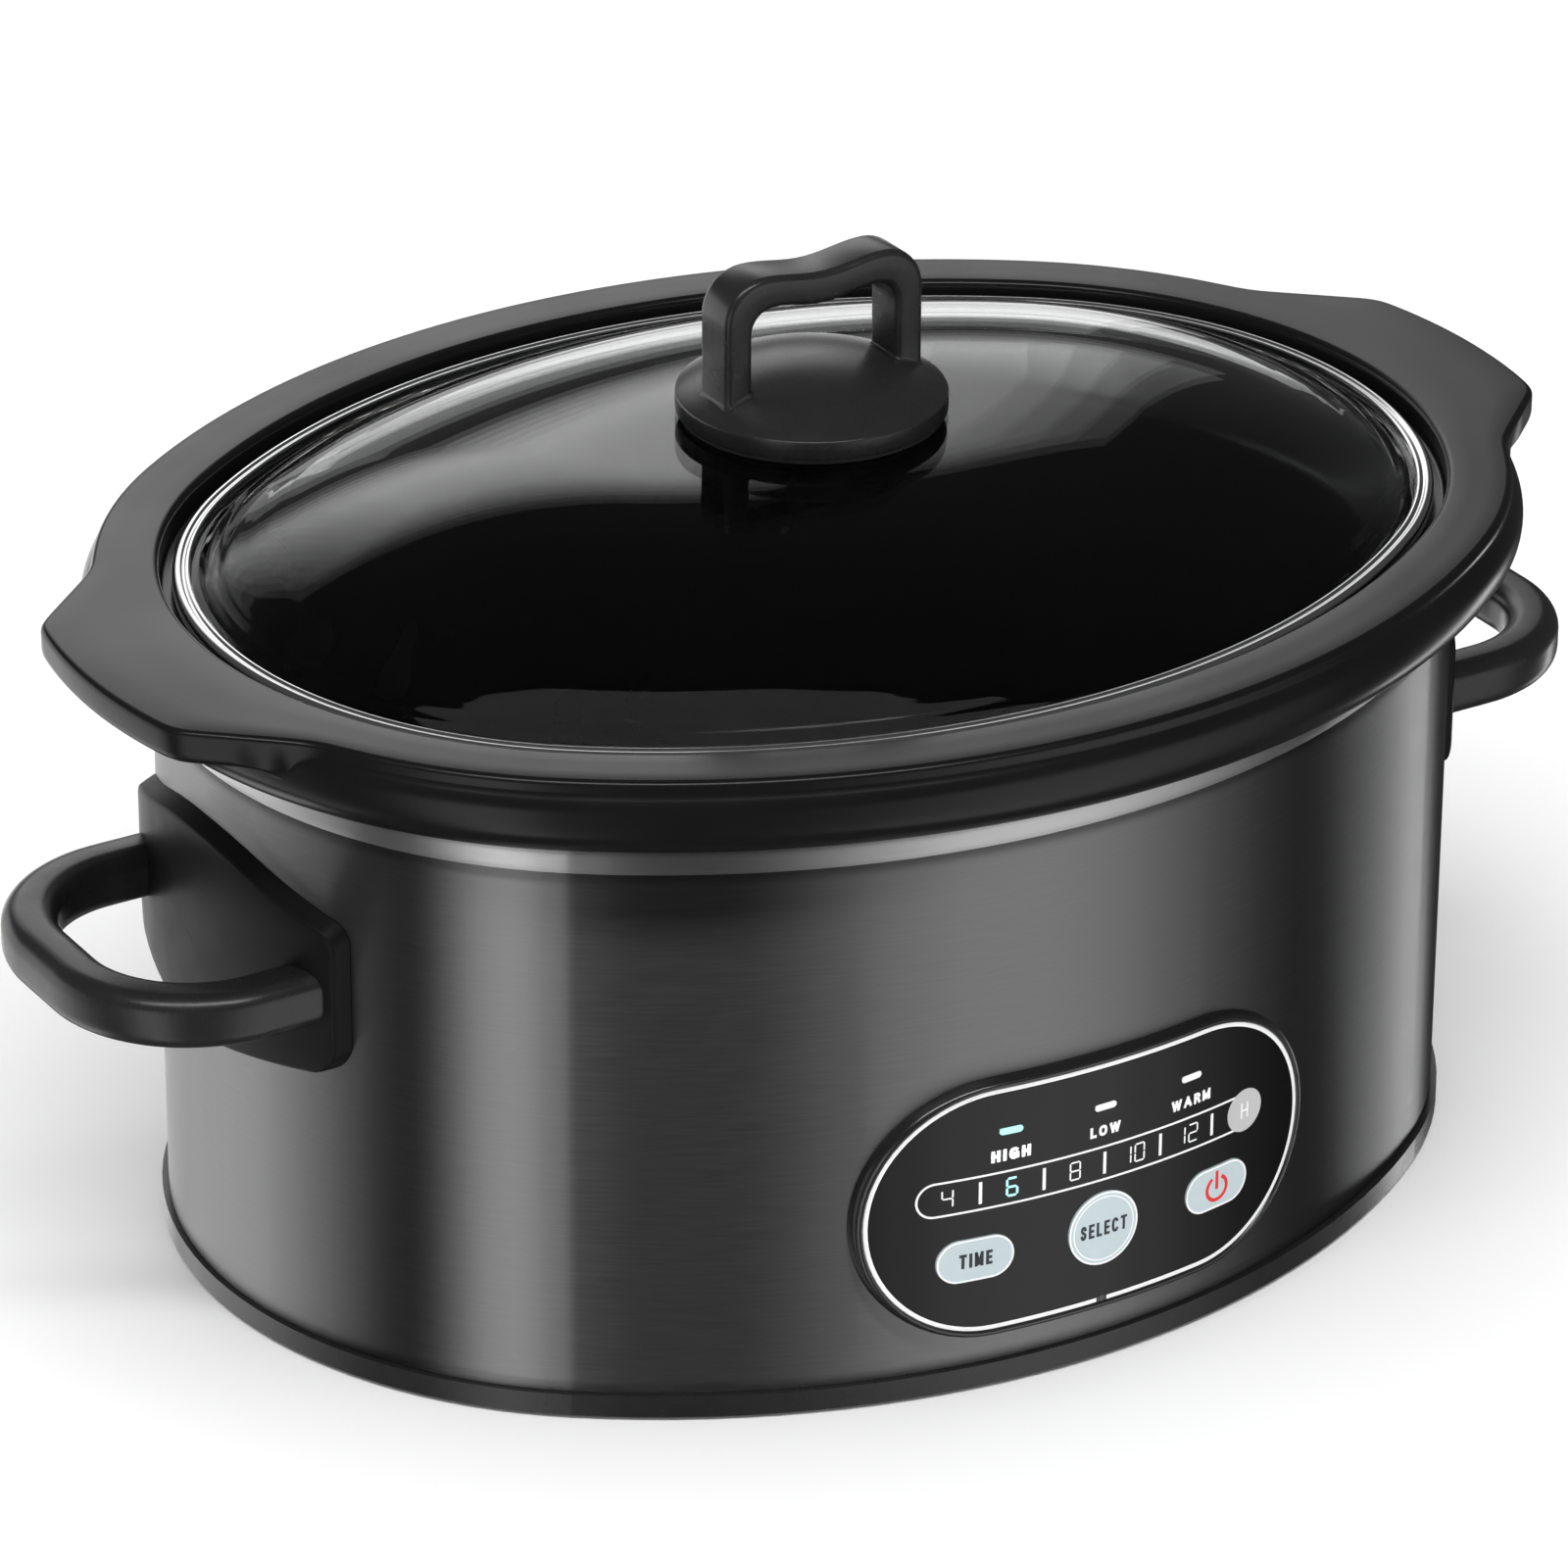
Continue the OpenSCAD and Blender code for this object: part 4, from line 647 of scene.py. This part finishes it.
def bridgePath(half, top, corner, dip):
    hump = half - corner

    def wave(x):
        return -dip * (1 + math.cos(math.pi * max(-1, min(1, x / hump)))) / 2

    base = bridgeSet["start"]
    path = [(-half, base)]
    path += [(-half, base + (top - corner - base) * k / 4) for k in (1, 2, 3)]
    path += arc((-hump, top - corner), corner, 180, 90, 10)
    path += [(hump * (k / 12 - 1), top + wave(hump * (k / 12 - 1)) - wave(hump)) for k in range(1, 24)]
    path += arc((hump, top - corner), corner, 90, 0, 10)
    path += [(half, base + (top - corner - base) * k / 4) for k in (3, 2, 1)]
    path += [(half, base)]
    return path


# rounded rectangle between two opposite points of the bar, deep along Y
def barLoop(outer, inner, depth, soft, grow=0.0, steps=5):
    ox, oz = outer
    ix, iz = inner
    wide = math.hypot(ox - ix, oz - iz)
    ux, uz = (ox - ix) / wide, (oz - iz) / wide
    mx, mz = (ox + ix) / 2, (oz + iz) / 2
    a, b = wide / 2 + grow, depth / 2 + grow
    r = min(soft, a * 0.98)   # a little under half the bar's width, so that no face is lost
    return [(mx + ux * p, q, mz + uz * p) for p, q in roundedBar(a, b, r, steps)]


def bridgeShell():
    s = bridgeSet
    base = knobLow.z + knobSet["thick"]
    top = knobHigh.z - base
    outer = bridgePath(s["half"], top, s["corner"], s["dip"])
    inner = bridgePath(s["half"] - s["leg"], top - s["grip"], s["innerCorner"], s["dip"])
    loops = [barLoop(out, into, s["depth"], s["soft"]) for out, into in zip(outer, inner)]
    rows = [[(x, y, z + base) for x, y, z in loop] for loop in loops]
    # the feet follow the dome, with a small fillet
    f = s["fillet"]
    for side in (-1, 1):
        feet = []
        for rise, grow in s["feet"]:
            outside, inside = (side * s["half"], 0), (side * (s["half"] - s["leg"]), 0)
            loop = barLoop(outside, inside, s["depth"], s["soft"], f * grow)
            feet.append([(x, y, base + knobRise(math.hypot(x, y)) + rise) for x, y, z in loop])
        rows = feet + rows if side < 0 else rows + list(reversed(feet))
    return capped(rows)


addPiece("lidGrip", joined(discShell(), bridgeShell()), "blackPlastic", "lid",
         ["lid_handle"], sharp=50)
print("lid handle made")

# draft: how far the plate's upper slopes lean back towards the wrap, from draftFrom below the shoulder;
# the shares are the part of it that each loop takes; middle: where the end faces' rings shrink to
plateSet = {"thick": 4.4, "back": 0.1, "half": 50, "low": 75.5, "belly": 8.5, "shoulder": 47, "peak": 62.5,
            "edge": 0.9, "draft": 2.4, "corners": (9, 40, 9, 6, 80, 6), "rings": 7,
            "lowShare": 0.45, "topShare": 0.85, "shareStep": 0.03, "lowRise": 2, "draftFrom": 12,
            "middle": (0, 30), "proud": 0.01}
loopSet = {"out": 48, "half": 47.2, "wide": 13.9, "high": 14.2, "soft": 5.0, "corner": 39, "rise": 27.5}


# polygon with its corners rounded, each by its own radius
def roundedOutline(corners, radii, steps=8, gap=5):
    path = []
    n = len(corners)
    for i, radius in enumerate(radii):
        p = Vector(corners[i])
        a = (Vector(corners[i - 1]) - p).normalized()
        b = (Vector(corners[(i + 1) % n]) - p).normalized()
        half = a.angle(b) / 2
        centre = p + (a + b).normalized() * (radius / math.sin(half))
        start = p + a * (radius / math.tan(half)) - centre
        stop = p + b * (radius / math.tan(half)) - centre
        for k in range(steps + 1):
            v = start.slerp(stop, k / steps) if abs(start.angle(stop)) > 1e-6 else start
            path.append(centre + v.normalized() * radius)
    # even spacing along the long straight sides
    even = []
    for i, p in enumerate(path):
        q = path[(i + 1) % len(path)]
        parts = max(1, int((q - p).length / gap))
        even += [p.lerp(q, k / parts) for k in range(parts)]
    return even


# the outline moved inwards by a distance
def inset(outline, d):
    n = len(outline)
    moved = []
    for i, p in enumerate(outline):
        along = (outline[(i + 1) % n] - outline[i - 1]).normalized()
        moved.append(p + Vector((-along.y, along.x)) * d)
    return moved


def plateShell(side):
    s = plateSet
    corners = [(-s["half"], s["belly"]), (0, 0), (s["half"], s["belly"]),
               (s["half"], s["shoulder"]), (0, s["peak"]), (-s["half"], s["shoulder"])]
    outline = roundedOutline(corners, s["corners"])
    e = s["edge"]
    middle = Vector(s["middle"])

    def drafted(path, share):
        high = s["peak"] - s["shoulder"]
        raised = [max(0, min(1, (p.y - s["shoulder"] + s["draftFrom"]) / high)) for p in path]
        return [Vector((p.x, p.y - s["draft"] * share * part)) for p, part in zip(path, raised)]

    loops = [(outline, s["back"] + s["proud"]), (drafted(outline, s["lowShare"]), s["back"] + s["lowRise"])]
    for k in range(6):
        w = math.radians(90 * k / 5)
        leaned = drafted(outline, s["topShare"] + s["shareStep"] * k)
        loops.append((inset(leaned, e - e * math.cos(w)), s["back"] + s["thick"] - e + e * math.sin(w)))
    flatLoop = loops[-1][0]
    n = s["rings"]
    loops += [([p.lerp(middle, k / n) for p in flatLoop], s["back"] + s["thick"]) for k in range(1, n)]
    backLoops = [([p.lerp(middle, k / n) for p in outline], s["back"]) for k in range(n - 1, 0, -1)]
    return capped([[(side * (endCentre + math.sqrt((endRadius + h) ** 2 - p.x ** 2)), p.x, s["low"] + p.y)
                    for p in path] for path, h in backLoops + loops])


def loopShell(side):
    s = loopSet
    half = s["half"] - s["wide"] / 2
    turnX = halfLong + s["out"] - s["corner"]
    turnY = s["half"] - s["corner"]
    r = s["corner"] - s["wide"] / 2
    # share: how far along the straight arm, from its root inside the plate
    path = [(turnX, half, 0.0, 1.0, k / 8) for k in range(8)]
    for k in range(31):
        w = math.radians(90 - 3 * k)
        path.append((turnX + r * math.cos(w), turnY + r * math.sin(w), math.cos(w), math.sin(w), 1))
    full = path + [(x, -y, nx, -ny, share) for x, y, nx, ny, share in reversed(path)]
    z = plateSet["low"] + s["rise"]
    rootRadius = endRadius + plateSet["back"] + plateSet["thick"] / 2
    bar = roundedBar(s["wide"] / 2, s["high"] / 2, s["soft"], 8)
    rows = []
    for x, y, nx, ny, share in full:
        loop = []
        for p, q in bar:
            across = y + ny * p
            root = endCentre + math.sqrt(rootRadius ** 2 - across ** 2)
            loop.append((side * (x + nx * p - (x - root) * (1 - share)), across, z + q))
        rows.append(loop)
    return capped(rows)


for side, word in ((-1, "Left"), (1, "Right")):
    addPiece("sideGrip" + word, loopShell(side), "blackPlastic", "housing",
             ["handle_" + word.lower()], sharp=50)
    # the plates take the darker plastic, whose lower tone is painted shade
    addPiece("sidePlate" + word, plateShell(side), "mattPlastic", "housing", sharp=50)
print("side handles made")

faceLow, faceHigh = boxOf("panel_face")
panelZ = (faceLow.z + faceHigh.z) / 2
# ridge: inset from the bezel's outline and height above the wrap, from its outer foot inwards
bezelSet = {"long": 130, "high": 70, "border": 3.5, "ledge": 8.6, "sleeve": 4.4, "deep": -3,
            "ledgeHigh": 1.1,
            "ridge": ((0, 0.1), (0, 1.2), (0.12, 2.1), (0.38, 2.85), (0.75, 3.35), (1.1, 3.55), (1.4, 3.6),
                      (1.68, 3.53), (1.9, 3.33), (2.05, 3.05), (2.12, 2.9), (3.44, 2.9), (3.5, 2.84)),
            "postX": 13, "postZ": 24.5, "postRadius": 3, "postHole": 1.25, "board": 9.8,
            "postSides": 24, "postRoot": -1.5, "postDeep": 4, "sleeveTop": 0.1,
            "tongueIn": 4.3, "tongueUp": 0.9, "tongueHalf": 1.5, "tongueX": [-12 + 3 * k for k in range(9)],
            "tongue": ((-1.15, -1.5), (-1.15, 1.5), (-3, 1.2), (-3, -1.5))}


def frontY(x, h):
    return sideCentre - math.sqrt((sideRadius + h) ** 2 - x * x)


# stadium outline in X and Z, evenly spaced
def stadium(length, height, steps=28, straight=10):
    r = height / 2
    c = length / 2 - r
    turns = [math.pi * k / steps for k in range(steps + 1)]
    path = [(c + r * math.sin(a), r * math.cos(a)) for a in turns]
    path += [(c - 2 * c * k / straight, -r) for k in range(1, straight)]
    path += [(-c - r * math.sin(a), -r * math.cos(a)) for a in turns]
    path += [(-c + 2 * c * k / straight, r) for k in range(1, straight)]
    return path


def frontLoop(outline, h, x0, z0):
    return [(x0 + x, frontY(x0 + x, h), z0 + z) for x, z in outline]


def bezelShell():
    s = bezelSet
    profile = list(s["ridge"]) + [(s["border"], s["ledgeHigh"]), (s["ledge"], s["ledgeHigh"]),
                                  (s["ledge"], s["deep"]), (s["sleeve"], s["deep"]),
                                  (s["sleeve"], s["sleeveTop"])]
    rows = [frontLoop(stadium(s["long"] - 2 * d, s["high"] - 2 * d), h, 0, panelZ) for d, h in profile]
    shells = [lattice(rows, True, True)]
    for x in (-s["postX"], s["postX"]):
        for z in (-s["postZ"], s["postZ"]):
            y0, y1 = frontY(x, s["postRoot"]), -halfWide + s["board"]
            turns = [math.radians(360 / s["postSides"] * k) for k in range(s["postSides"])]
            rows = [[(x + r * math.cos(a), y, panelZ + z + r * math.sin(a)) for a in turns]
                    for r, y in ((s["postRadius"], y0), (s["postRadius"], y1), (s["postHole"], y1),
                                 (s["postHole"], y1 - s["postDeep"]))]
            shells.append(capped(rows))
    for t in (-1, 1):
        z = panelZ + t * (s["high"] / 2 - s["tongueIn"] + s["tongueUp"] - s["tongueHalf"])
        rows = [[(x, frontY(x, h), z + dz) for h, dz in s["tongue"]] for x in s["tongueX"]]
        shells.append(capped(rows))
    return joined(*shells)


addPiece("panelBezel", bezelShell(), "bezelPlastic", "housing", ["control_bezel"], sharp=35)
print("bezel made")

# the printed marks stand a hair above the face; ring and strip are measured from the panel's middle
markSet = {"face": 2.9, "thick": 0.05, "bury": 0.02,
           "ring": {"long": 125.6, "high": 65.6, "wide": 1.08, "notch": 1.5, "tick": (1.3, 1.7)},
           "strip": {"left": -50.3, "right": 45.2, "z": 5.5, "high": 9.6, "wide": 0.55},
           "hours": ((-42.3, "4"), (-25.6, "6"), (-8.4, "8"), (8.3, "10"), (24.9, "12")),
           "litHour": "6", "bars": (-33.9, -17.0, 0.0, 16.6, 33.0), "barSize": (0.85, 6.0),
           "digit": (2.7, 4.7, 0.42), "digitGap": 1.3, "digitEnd": 0.75, "litStroke": 0.62,
           "disc": {"x": 44.0, "radius": 5.75, "proud": 0.03, "letterProud": 0.09,
                    "letter": (4.2, 0.8, 0.1)},
           "heat": ((-26, "HIGH", 3.1, 1.0, 0.28), (0, "LOW", 2.9, 0.98, 0.26),
                    (26, "WARM", 2.9, 0.98, 0.26)),
           "heatZ": 14.6, "litWord": "HIGH"}
keySet = {"proud": 3.3, "outline": 0.5, "timeX": -35, "powerX": 35, "drop": 12.4, "size": (20, 11.5),
          "round": 9.9, "ring": (8.75, 0.32), "time": (3.9, 0.56, 0.2), "select": (3.9, 0.54, 0.18),
          "space": 0.3,
          "power": {"radius": 3.2, "wide": 0.95, "gap": 36, "bar": 4.4, "drop": 0.3, "stem": -0.2}}


# a printed mark; it rides on the housing unless another body is named
def addMark(name, shell, finish, body="housing"):
    addPiece(name, shell, finish, body, sharp=30)


# the outer and inner line of a stadium band
def stadiumPair(long, high, wide, steps, straight):
    return [stadium(long - 2 * d, high - 2 * d, steps, straight) for d in (0, wide)]


# the four edges of a flat band laid on the curved front, between two outlines
def bandRows(outer, inner, h, x0, z0):
    low, high = h - markSet["bury"], h + markSet["thick"]
    return [frontLoop(outer, low, x0, z0), frontLoop(outer, high, x0, z0),
            frontLoop(inner, high, x0, z0), frontLoop(inner, low, x0, z0)]


# a band that closes on itself
def bandShell(outer, inner, h, x0, z0):
    return lattice(bandRows(outer, inner, h, x0, z0), True, True)


# a band with two ends
def openBand(outer, inner, h, x0, z0):
    points, faces = lattice(bandRows(outer, inner, h, x0, z0), True, False)
    n = len(outer)
    return points, faces + [(0, n, 2 * n, 3 * n), (n - 1, 2 * n - 1, 3 * n - 1, 4 * n - 1)]


def rectangle(wide, high, x, z=0):
    a, b = wide / 2, high / 2
    return [(x - a, z - b), (x + a, z - b), (x + a, z + b), (x - a, z + b)]


# a filled outline, in rings so that it follows the curve
def patchShell(outline, h, x0, z0, rings=(1, 0.66, 0.33)):
    mx = sum(p[0] for p in outline) / len(outline)
    mz = sum(p[1] for p in outline) / len(outline)
    low, high = h - markSet["bury"], h + markSet["thick"]
    shrunk = [[(mx + (x - mx) * f, mz + (z - mz) * f) for x, z in outline] for f in rings]
    rows = [frontLoop(p, low, x0, z0) for p in reversed(shrunk)]
    return capped(rows + [frontLoop(p, high, x0, z0) for p in shrunk])


# a line of even width along a path
def pathBand(path, wide, h, x0, z0):
    points = [Vector(p) for p in path]
    runs = [(b - a).normalized() for a, b in zip(points, points[1:])]
    closed = (points[0] - points[-1]).length < 1e-6
    if not closed:
        points[0] = points[0] - runs[0] * wide / 2
        points[-1] = points[-1] + runs[-1] * wide / 2
    left, right = [], []
    for i, p in enumerate(points):
        before = runs[i - 1] if i > 0 else (runs[-1] if closed else runs[0])
        after = runs[i] if i < len(runs) else (runs[0] if closed else runs[-1])
        turn = (before + after).normalized()
        # the bound keeps a sharp corner from reaching out too far
        out = Vector((-turn.y, turn.x)) * wide / 2 / max(0.55, turn.dot(after))
        left.append(tuple(p + out))
        right.append(tuple(p - out))
    return openBand(left, right, h, x0, z0)


# rounded bar between two points
def barOutline(x0, z0, x1, z1, wide, steps=6):
    a = math.degrees(math.atan2(z1 - z0, x1 - x0))
    return arc((x1, z1), wide / 2, a - 90, a + 90, steps) + arc((x0, z0), wide / 2, a + 90, a + 270, steps)


# seven bars of a display digit: top, upper right, lower right, bottom, lower left, upper left, middle
segmentsOf = {"0": "abcdef", "1": "bc", "2": "abged", "4": "fgbc", "6": "afgedc", "8": "abcdefg"}


def digitShells(text, x, z, h, lit=False):
    wide, high, stroke = markSet["digit"]
    stroke = markSet["litStroke"] if lit else stroke
    pitch = wide + markSet["digitGap"]
    shells = []
    for i, letter in enumerate(text):
        cx = x + (i - (len(text) - 1) / 2) * pitch
        w, t, g = wide / 2, high / 2, stroke * markSet["digitEnd"]
        ends = {"a": (-w + g, t, w - g, t), "b": (w, t - g, w, g), "c": (w, -g, w, -t + g),
                "d": (-w + g, -t, w - g, -t), "e": (-w, -g, -w, -t + g), "f": (-w, t - g, -w, g),
                "g": (-w + g, 0, w - g, 0)}
        for bar in segmentsOf[letter]:
            shells.append(patchShell(barOutline(*ends[bar], stroke, 3), h, cx, z))
    return shells


# part of a letter's round outline, from one angle to another; square below one makes it boxier
def roundStroke(start, stop, width, steps=20, square=0.8):
    path = []
    for k in range(steps + 1):
        a = math.radians(start + (stop - start) * k / steps)
        c, q = [math.copysign(abs(v) ** square, v) for v in (math.cos(a), math.sin(a))]
        path.append((width / 2 + width / 2 * c, 0.5 + 0.5 * q))
    return path


# strokes of the plain block letters on a field one high; each letter's width comes first
lettersOf = {
    "A": (0.84, [(0, 0), (0.42, 1)], [(0.42, 1), (0.84, 0)], [(0.16, 0.3), (0.68, 0.3)]),
    "C": (0.72, roundStroke(42, 318, 0.72)),
    "E": (0.52, [(0.52, 1), (0, 1), (0, 0), (0.52, 0)], [(0, 0.5), (0.46, 0.5)]),
    "G": (0.78, roundStroke(54, 318, 0.78), [(0.46, 0.42), (0.78, 0.42), (0.78, 0.08)]),
    "H": (0.66, [(0, 0), (0, 1)], [(0.66, 0), (0.66, 1)], [(0, 0.5), (0.66, 0.5)]),
    "I": (0.0, [(0, 0), (0, 1)]),
    "L": (0.5, [(0, 1), (0, 0), (0.5, 0)]),
    "M": (0.84, [(0, 0), (0, 1)], [(0, 1), (0.42, 0.12)], [(0.42, 0.12), (0.84, 1)], [(0.84, 1), (0.84, 0)]),
    "O": (0.78, roundStroke(0, 360, 0.78, 28)),
    "R": (0.62, [(0, 0), (0, 1), (0.34, 1), (0.52, 0.94), (0.6, 0.76), (0.52, 0.58), (0.34, 0.5), (0, 0.5)],
          [(0.36, 0.5), (0.64, 0)]),
    "S": (0.6, [(0.57, 0.8), (0.47, 0.95), (0.3, 1), (0.12, 0.94), (0.03, 0.76), (0.12, 0.6), (0.3, 0.52),
                (0.48, 0.43), (0.58, 0.26), (0.48, 0.07), (0.3, 0), (0.12, 0.05), (0.02, 0.2)]),
    "T": (0.66, [(0, 1), (0.66, 1)], [(0.33, 1), (0.33, 0)]),
    "W": (1.14, [(0, 1), (0.29, 0)], [(0.29, 0), (0.57, 0.95)], [(0.57, 0.95), (0.85, 0)],
          [(0.85, 0), (1.14, 1)]),
}


# a word in block letters, centred; wide stretches it and stroke is the line's share of its height
def wordShell(text, x, z, high, h, wide, stroke, space=0.24):
    line = high * stroke
    tall = high - line
    runs, pen = [], 0.0
    for letter in text:
        width, *strokes = lettersOf[letter]
        runs.append((pen, strokes))
        pen += width * tall * wide + line + high * space * wide
    total = pen - high * space * wide - line
    shells = []
    for left, strokes in runs:
        for path in strokes:
            placed = [(left - total / 2 + px * tall * wide, (pz - 0.5) * tall) for px, pz in path]
            shells.append(pathBand(placed, line, h, x, z))
    return joined(*shells)


def ringShells():
    s, h = markSet["ring"], markSet["face"]
    outer, inner = stadiumPair(s["long"], s["high"], s["wide"], 40, 40)
    # the line is open at the bottom of the middle, round a short tick
    keep = [i for i, (x, z) in enumerate(outer) if not (z < 0 and abs(x) < s["notch"])]
    start = next(i for i in range(len(outer)) if i not in keep and (i + 1) % len(outer) in keep)
    order = [(start + 1 + k) % len(outer) for k in range(len(keep))]
    line = openBand([outer[i] for i in order], [inner[i] for i in order], h, 0, panelZ)
    tick = patchShell(rectangle(*s["tick"], 0, -s["high"] / 2 + s["wide"] / 2), h, 0, panelZ)
    return line, tick


def stripShells():
    s, h = markSet["strip"], markSet["face"]
    z = panelZ + s["z"]
    middle = (s["left"] + s["right"]) / 2
    pair = stadiumPair(s["right"] - s["left"], s["high"], s["wide"], 24, 60)
    shells = [bandShell(*[[(x + middle, q) for x, q in line] for line in pair], h, 0, z)]
    shells += [patchShell(rectangle(*markSet["barSize"], x), h, 0, z) for x in markSet["bars"]]
    for x, text in markSet["hours"]:
        if text != markSet["litHour"]:
            shells += digitShells(text, x, z, h)
    return shells


def circle(r, steps=64):
    turns = [2 * math.pi * k / steps for k in range(steps)]
    return [(r * math.sin(a), r * math.cos(a)) for a in turns]


faceH = markSet["face"]
ringLine, ringTick = ringShells()
hourZ = panelZ + markSet["strip"]["z"]
heatZ = panelZ + markSet["heatZ"]
words = {text: wordShell(text, x, heatZ, high, faceH, wide, stroke)
         for x, text, high, wide, stroke in markSet["heat"]}
litWord = words.pop(markSet["litWord"])
addMark("faceMarks", joined(ringLine, *stripShells(), *words.values()), "printWhite")
addMark("faceTick", ringTick, "printGrey")
addMark("litWord", litWord, "litWhite")
litHour = [shell for x, text in markSet["hours"] if text == markSet["litHour"]
           for shell in digitShells(text, x, hourZ, faceH, True)]
addMark("litHour", joined(*litHour), "litCyan")
disc = markSet["disc"]
addMark("holdDisc", patchShell(circle(disc["radius"]), faceH + disc["proud"], disc["x"], hourZ), "printPale")
high, wide, stroke = disc["letter"]
addMark("holdLetter", wordShell("H", disc["x"], hourZ, high, faceH + disc["letterProud"], wide, stroke),
        "printWhite")
print("face marks made")

barLow, barHigh = boxOf("light_bars")
# pillow: how far each row grows past the bar's outline, and its height above the wrap
lampSet = {"long": 6.2, "lit": -26, "plain": (0, 26),
           "pillow": ((0, 1.3), (0, 2.92), (-0.12, 3.0), (-0.4, 3.04), (-0.7, 3.05))}


# rounded light bars, each a low pillow in its slot
def lightShell(x):
    z = (barLow.z + barHigh.z) / 2
    long, high = lampSet["long"], barHigh.z - barLow.z
    return capped([frontLoop(stadium(long + 2 * grow, high + 2 * grow, 12, 4), h, x, z)
                   for grow, h in lampSet["pillow"]])


addPiece("lampLit", lightShell(lampSet["lit"]), "litCyan", "housing", ["light_bars"], sharp=40)
addPiece("lampsPlain", joined(*[lightShell(x) for x in lampSet["plain"]]), "printWhite", "housing",
         sharp=40)

keyZ = panelZ - keySet["drop"]
keyH = keySet["proud"]


# a key's cap marks: its white outline, and the word or sign in the middle
def keyMarks():
    k = keySet
    w = k["outline"]
    for name, x in (("Time", k["timeX"]), ("Power", k["powerX"])):
        pair = stadiumPair(*k["size"], w, 24, 8)
        addMark("outline" + name, bandShell(*pair, keyH, x, keyZ), "printWhite", name.lower() + "_key")
    rings = [bandShell(circle(r), circle(r - t), keyH, 0, keyZ) for r, t in ((k["round"], w), k["ring"])]
    addMark("outlineSelect", joined(*rings), "printWhite", "select_key")
    for name, x in (("Time", k["timeX"]), ("Select", 0)):
        tall, wide, stroke = k[name.lower()]
        word = wordShell(name.upper(), x, keyZ, tall, keyH, wide, stroke, k["space"])
        addMark("word" + name, word, "printDark", name.lower() + "_key")
    p = k["power"]
    turns = [math.radians(p["gap"] + (360 - 2 * p["gap"]) * n / 40) for n in range(41)]
    sign = [(p["radius"] * math.sin(a), p["radius"] * math.cos(a) - p["drop"]) for a in turns]
    stem = barOutline(0, p["stem"], 0, p["bar"] - p["drop"], p["wide"])
    shells = pathBand(sign, p["wide"], keyH, k["powerX"], keyZ), patchShell(stem, keyH, k["powerX"], keyZ)
    addMark("signPower", joined(*shells), "printRed", "power_key")


keyMarks()
print("key marks made")
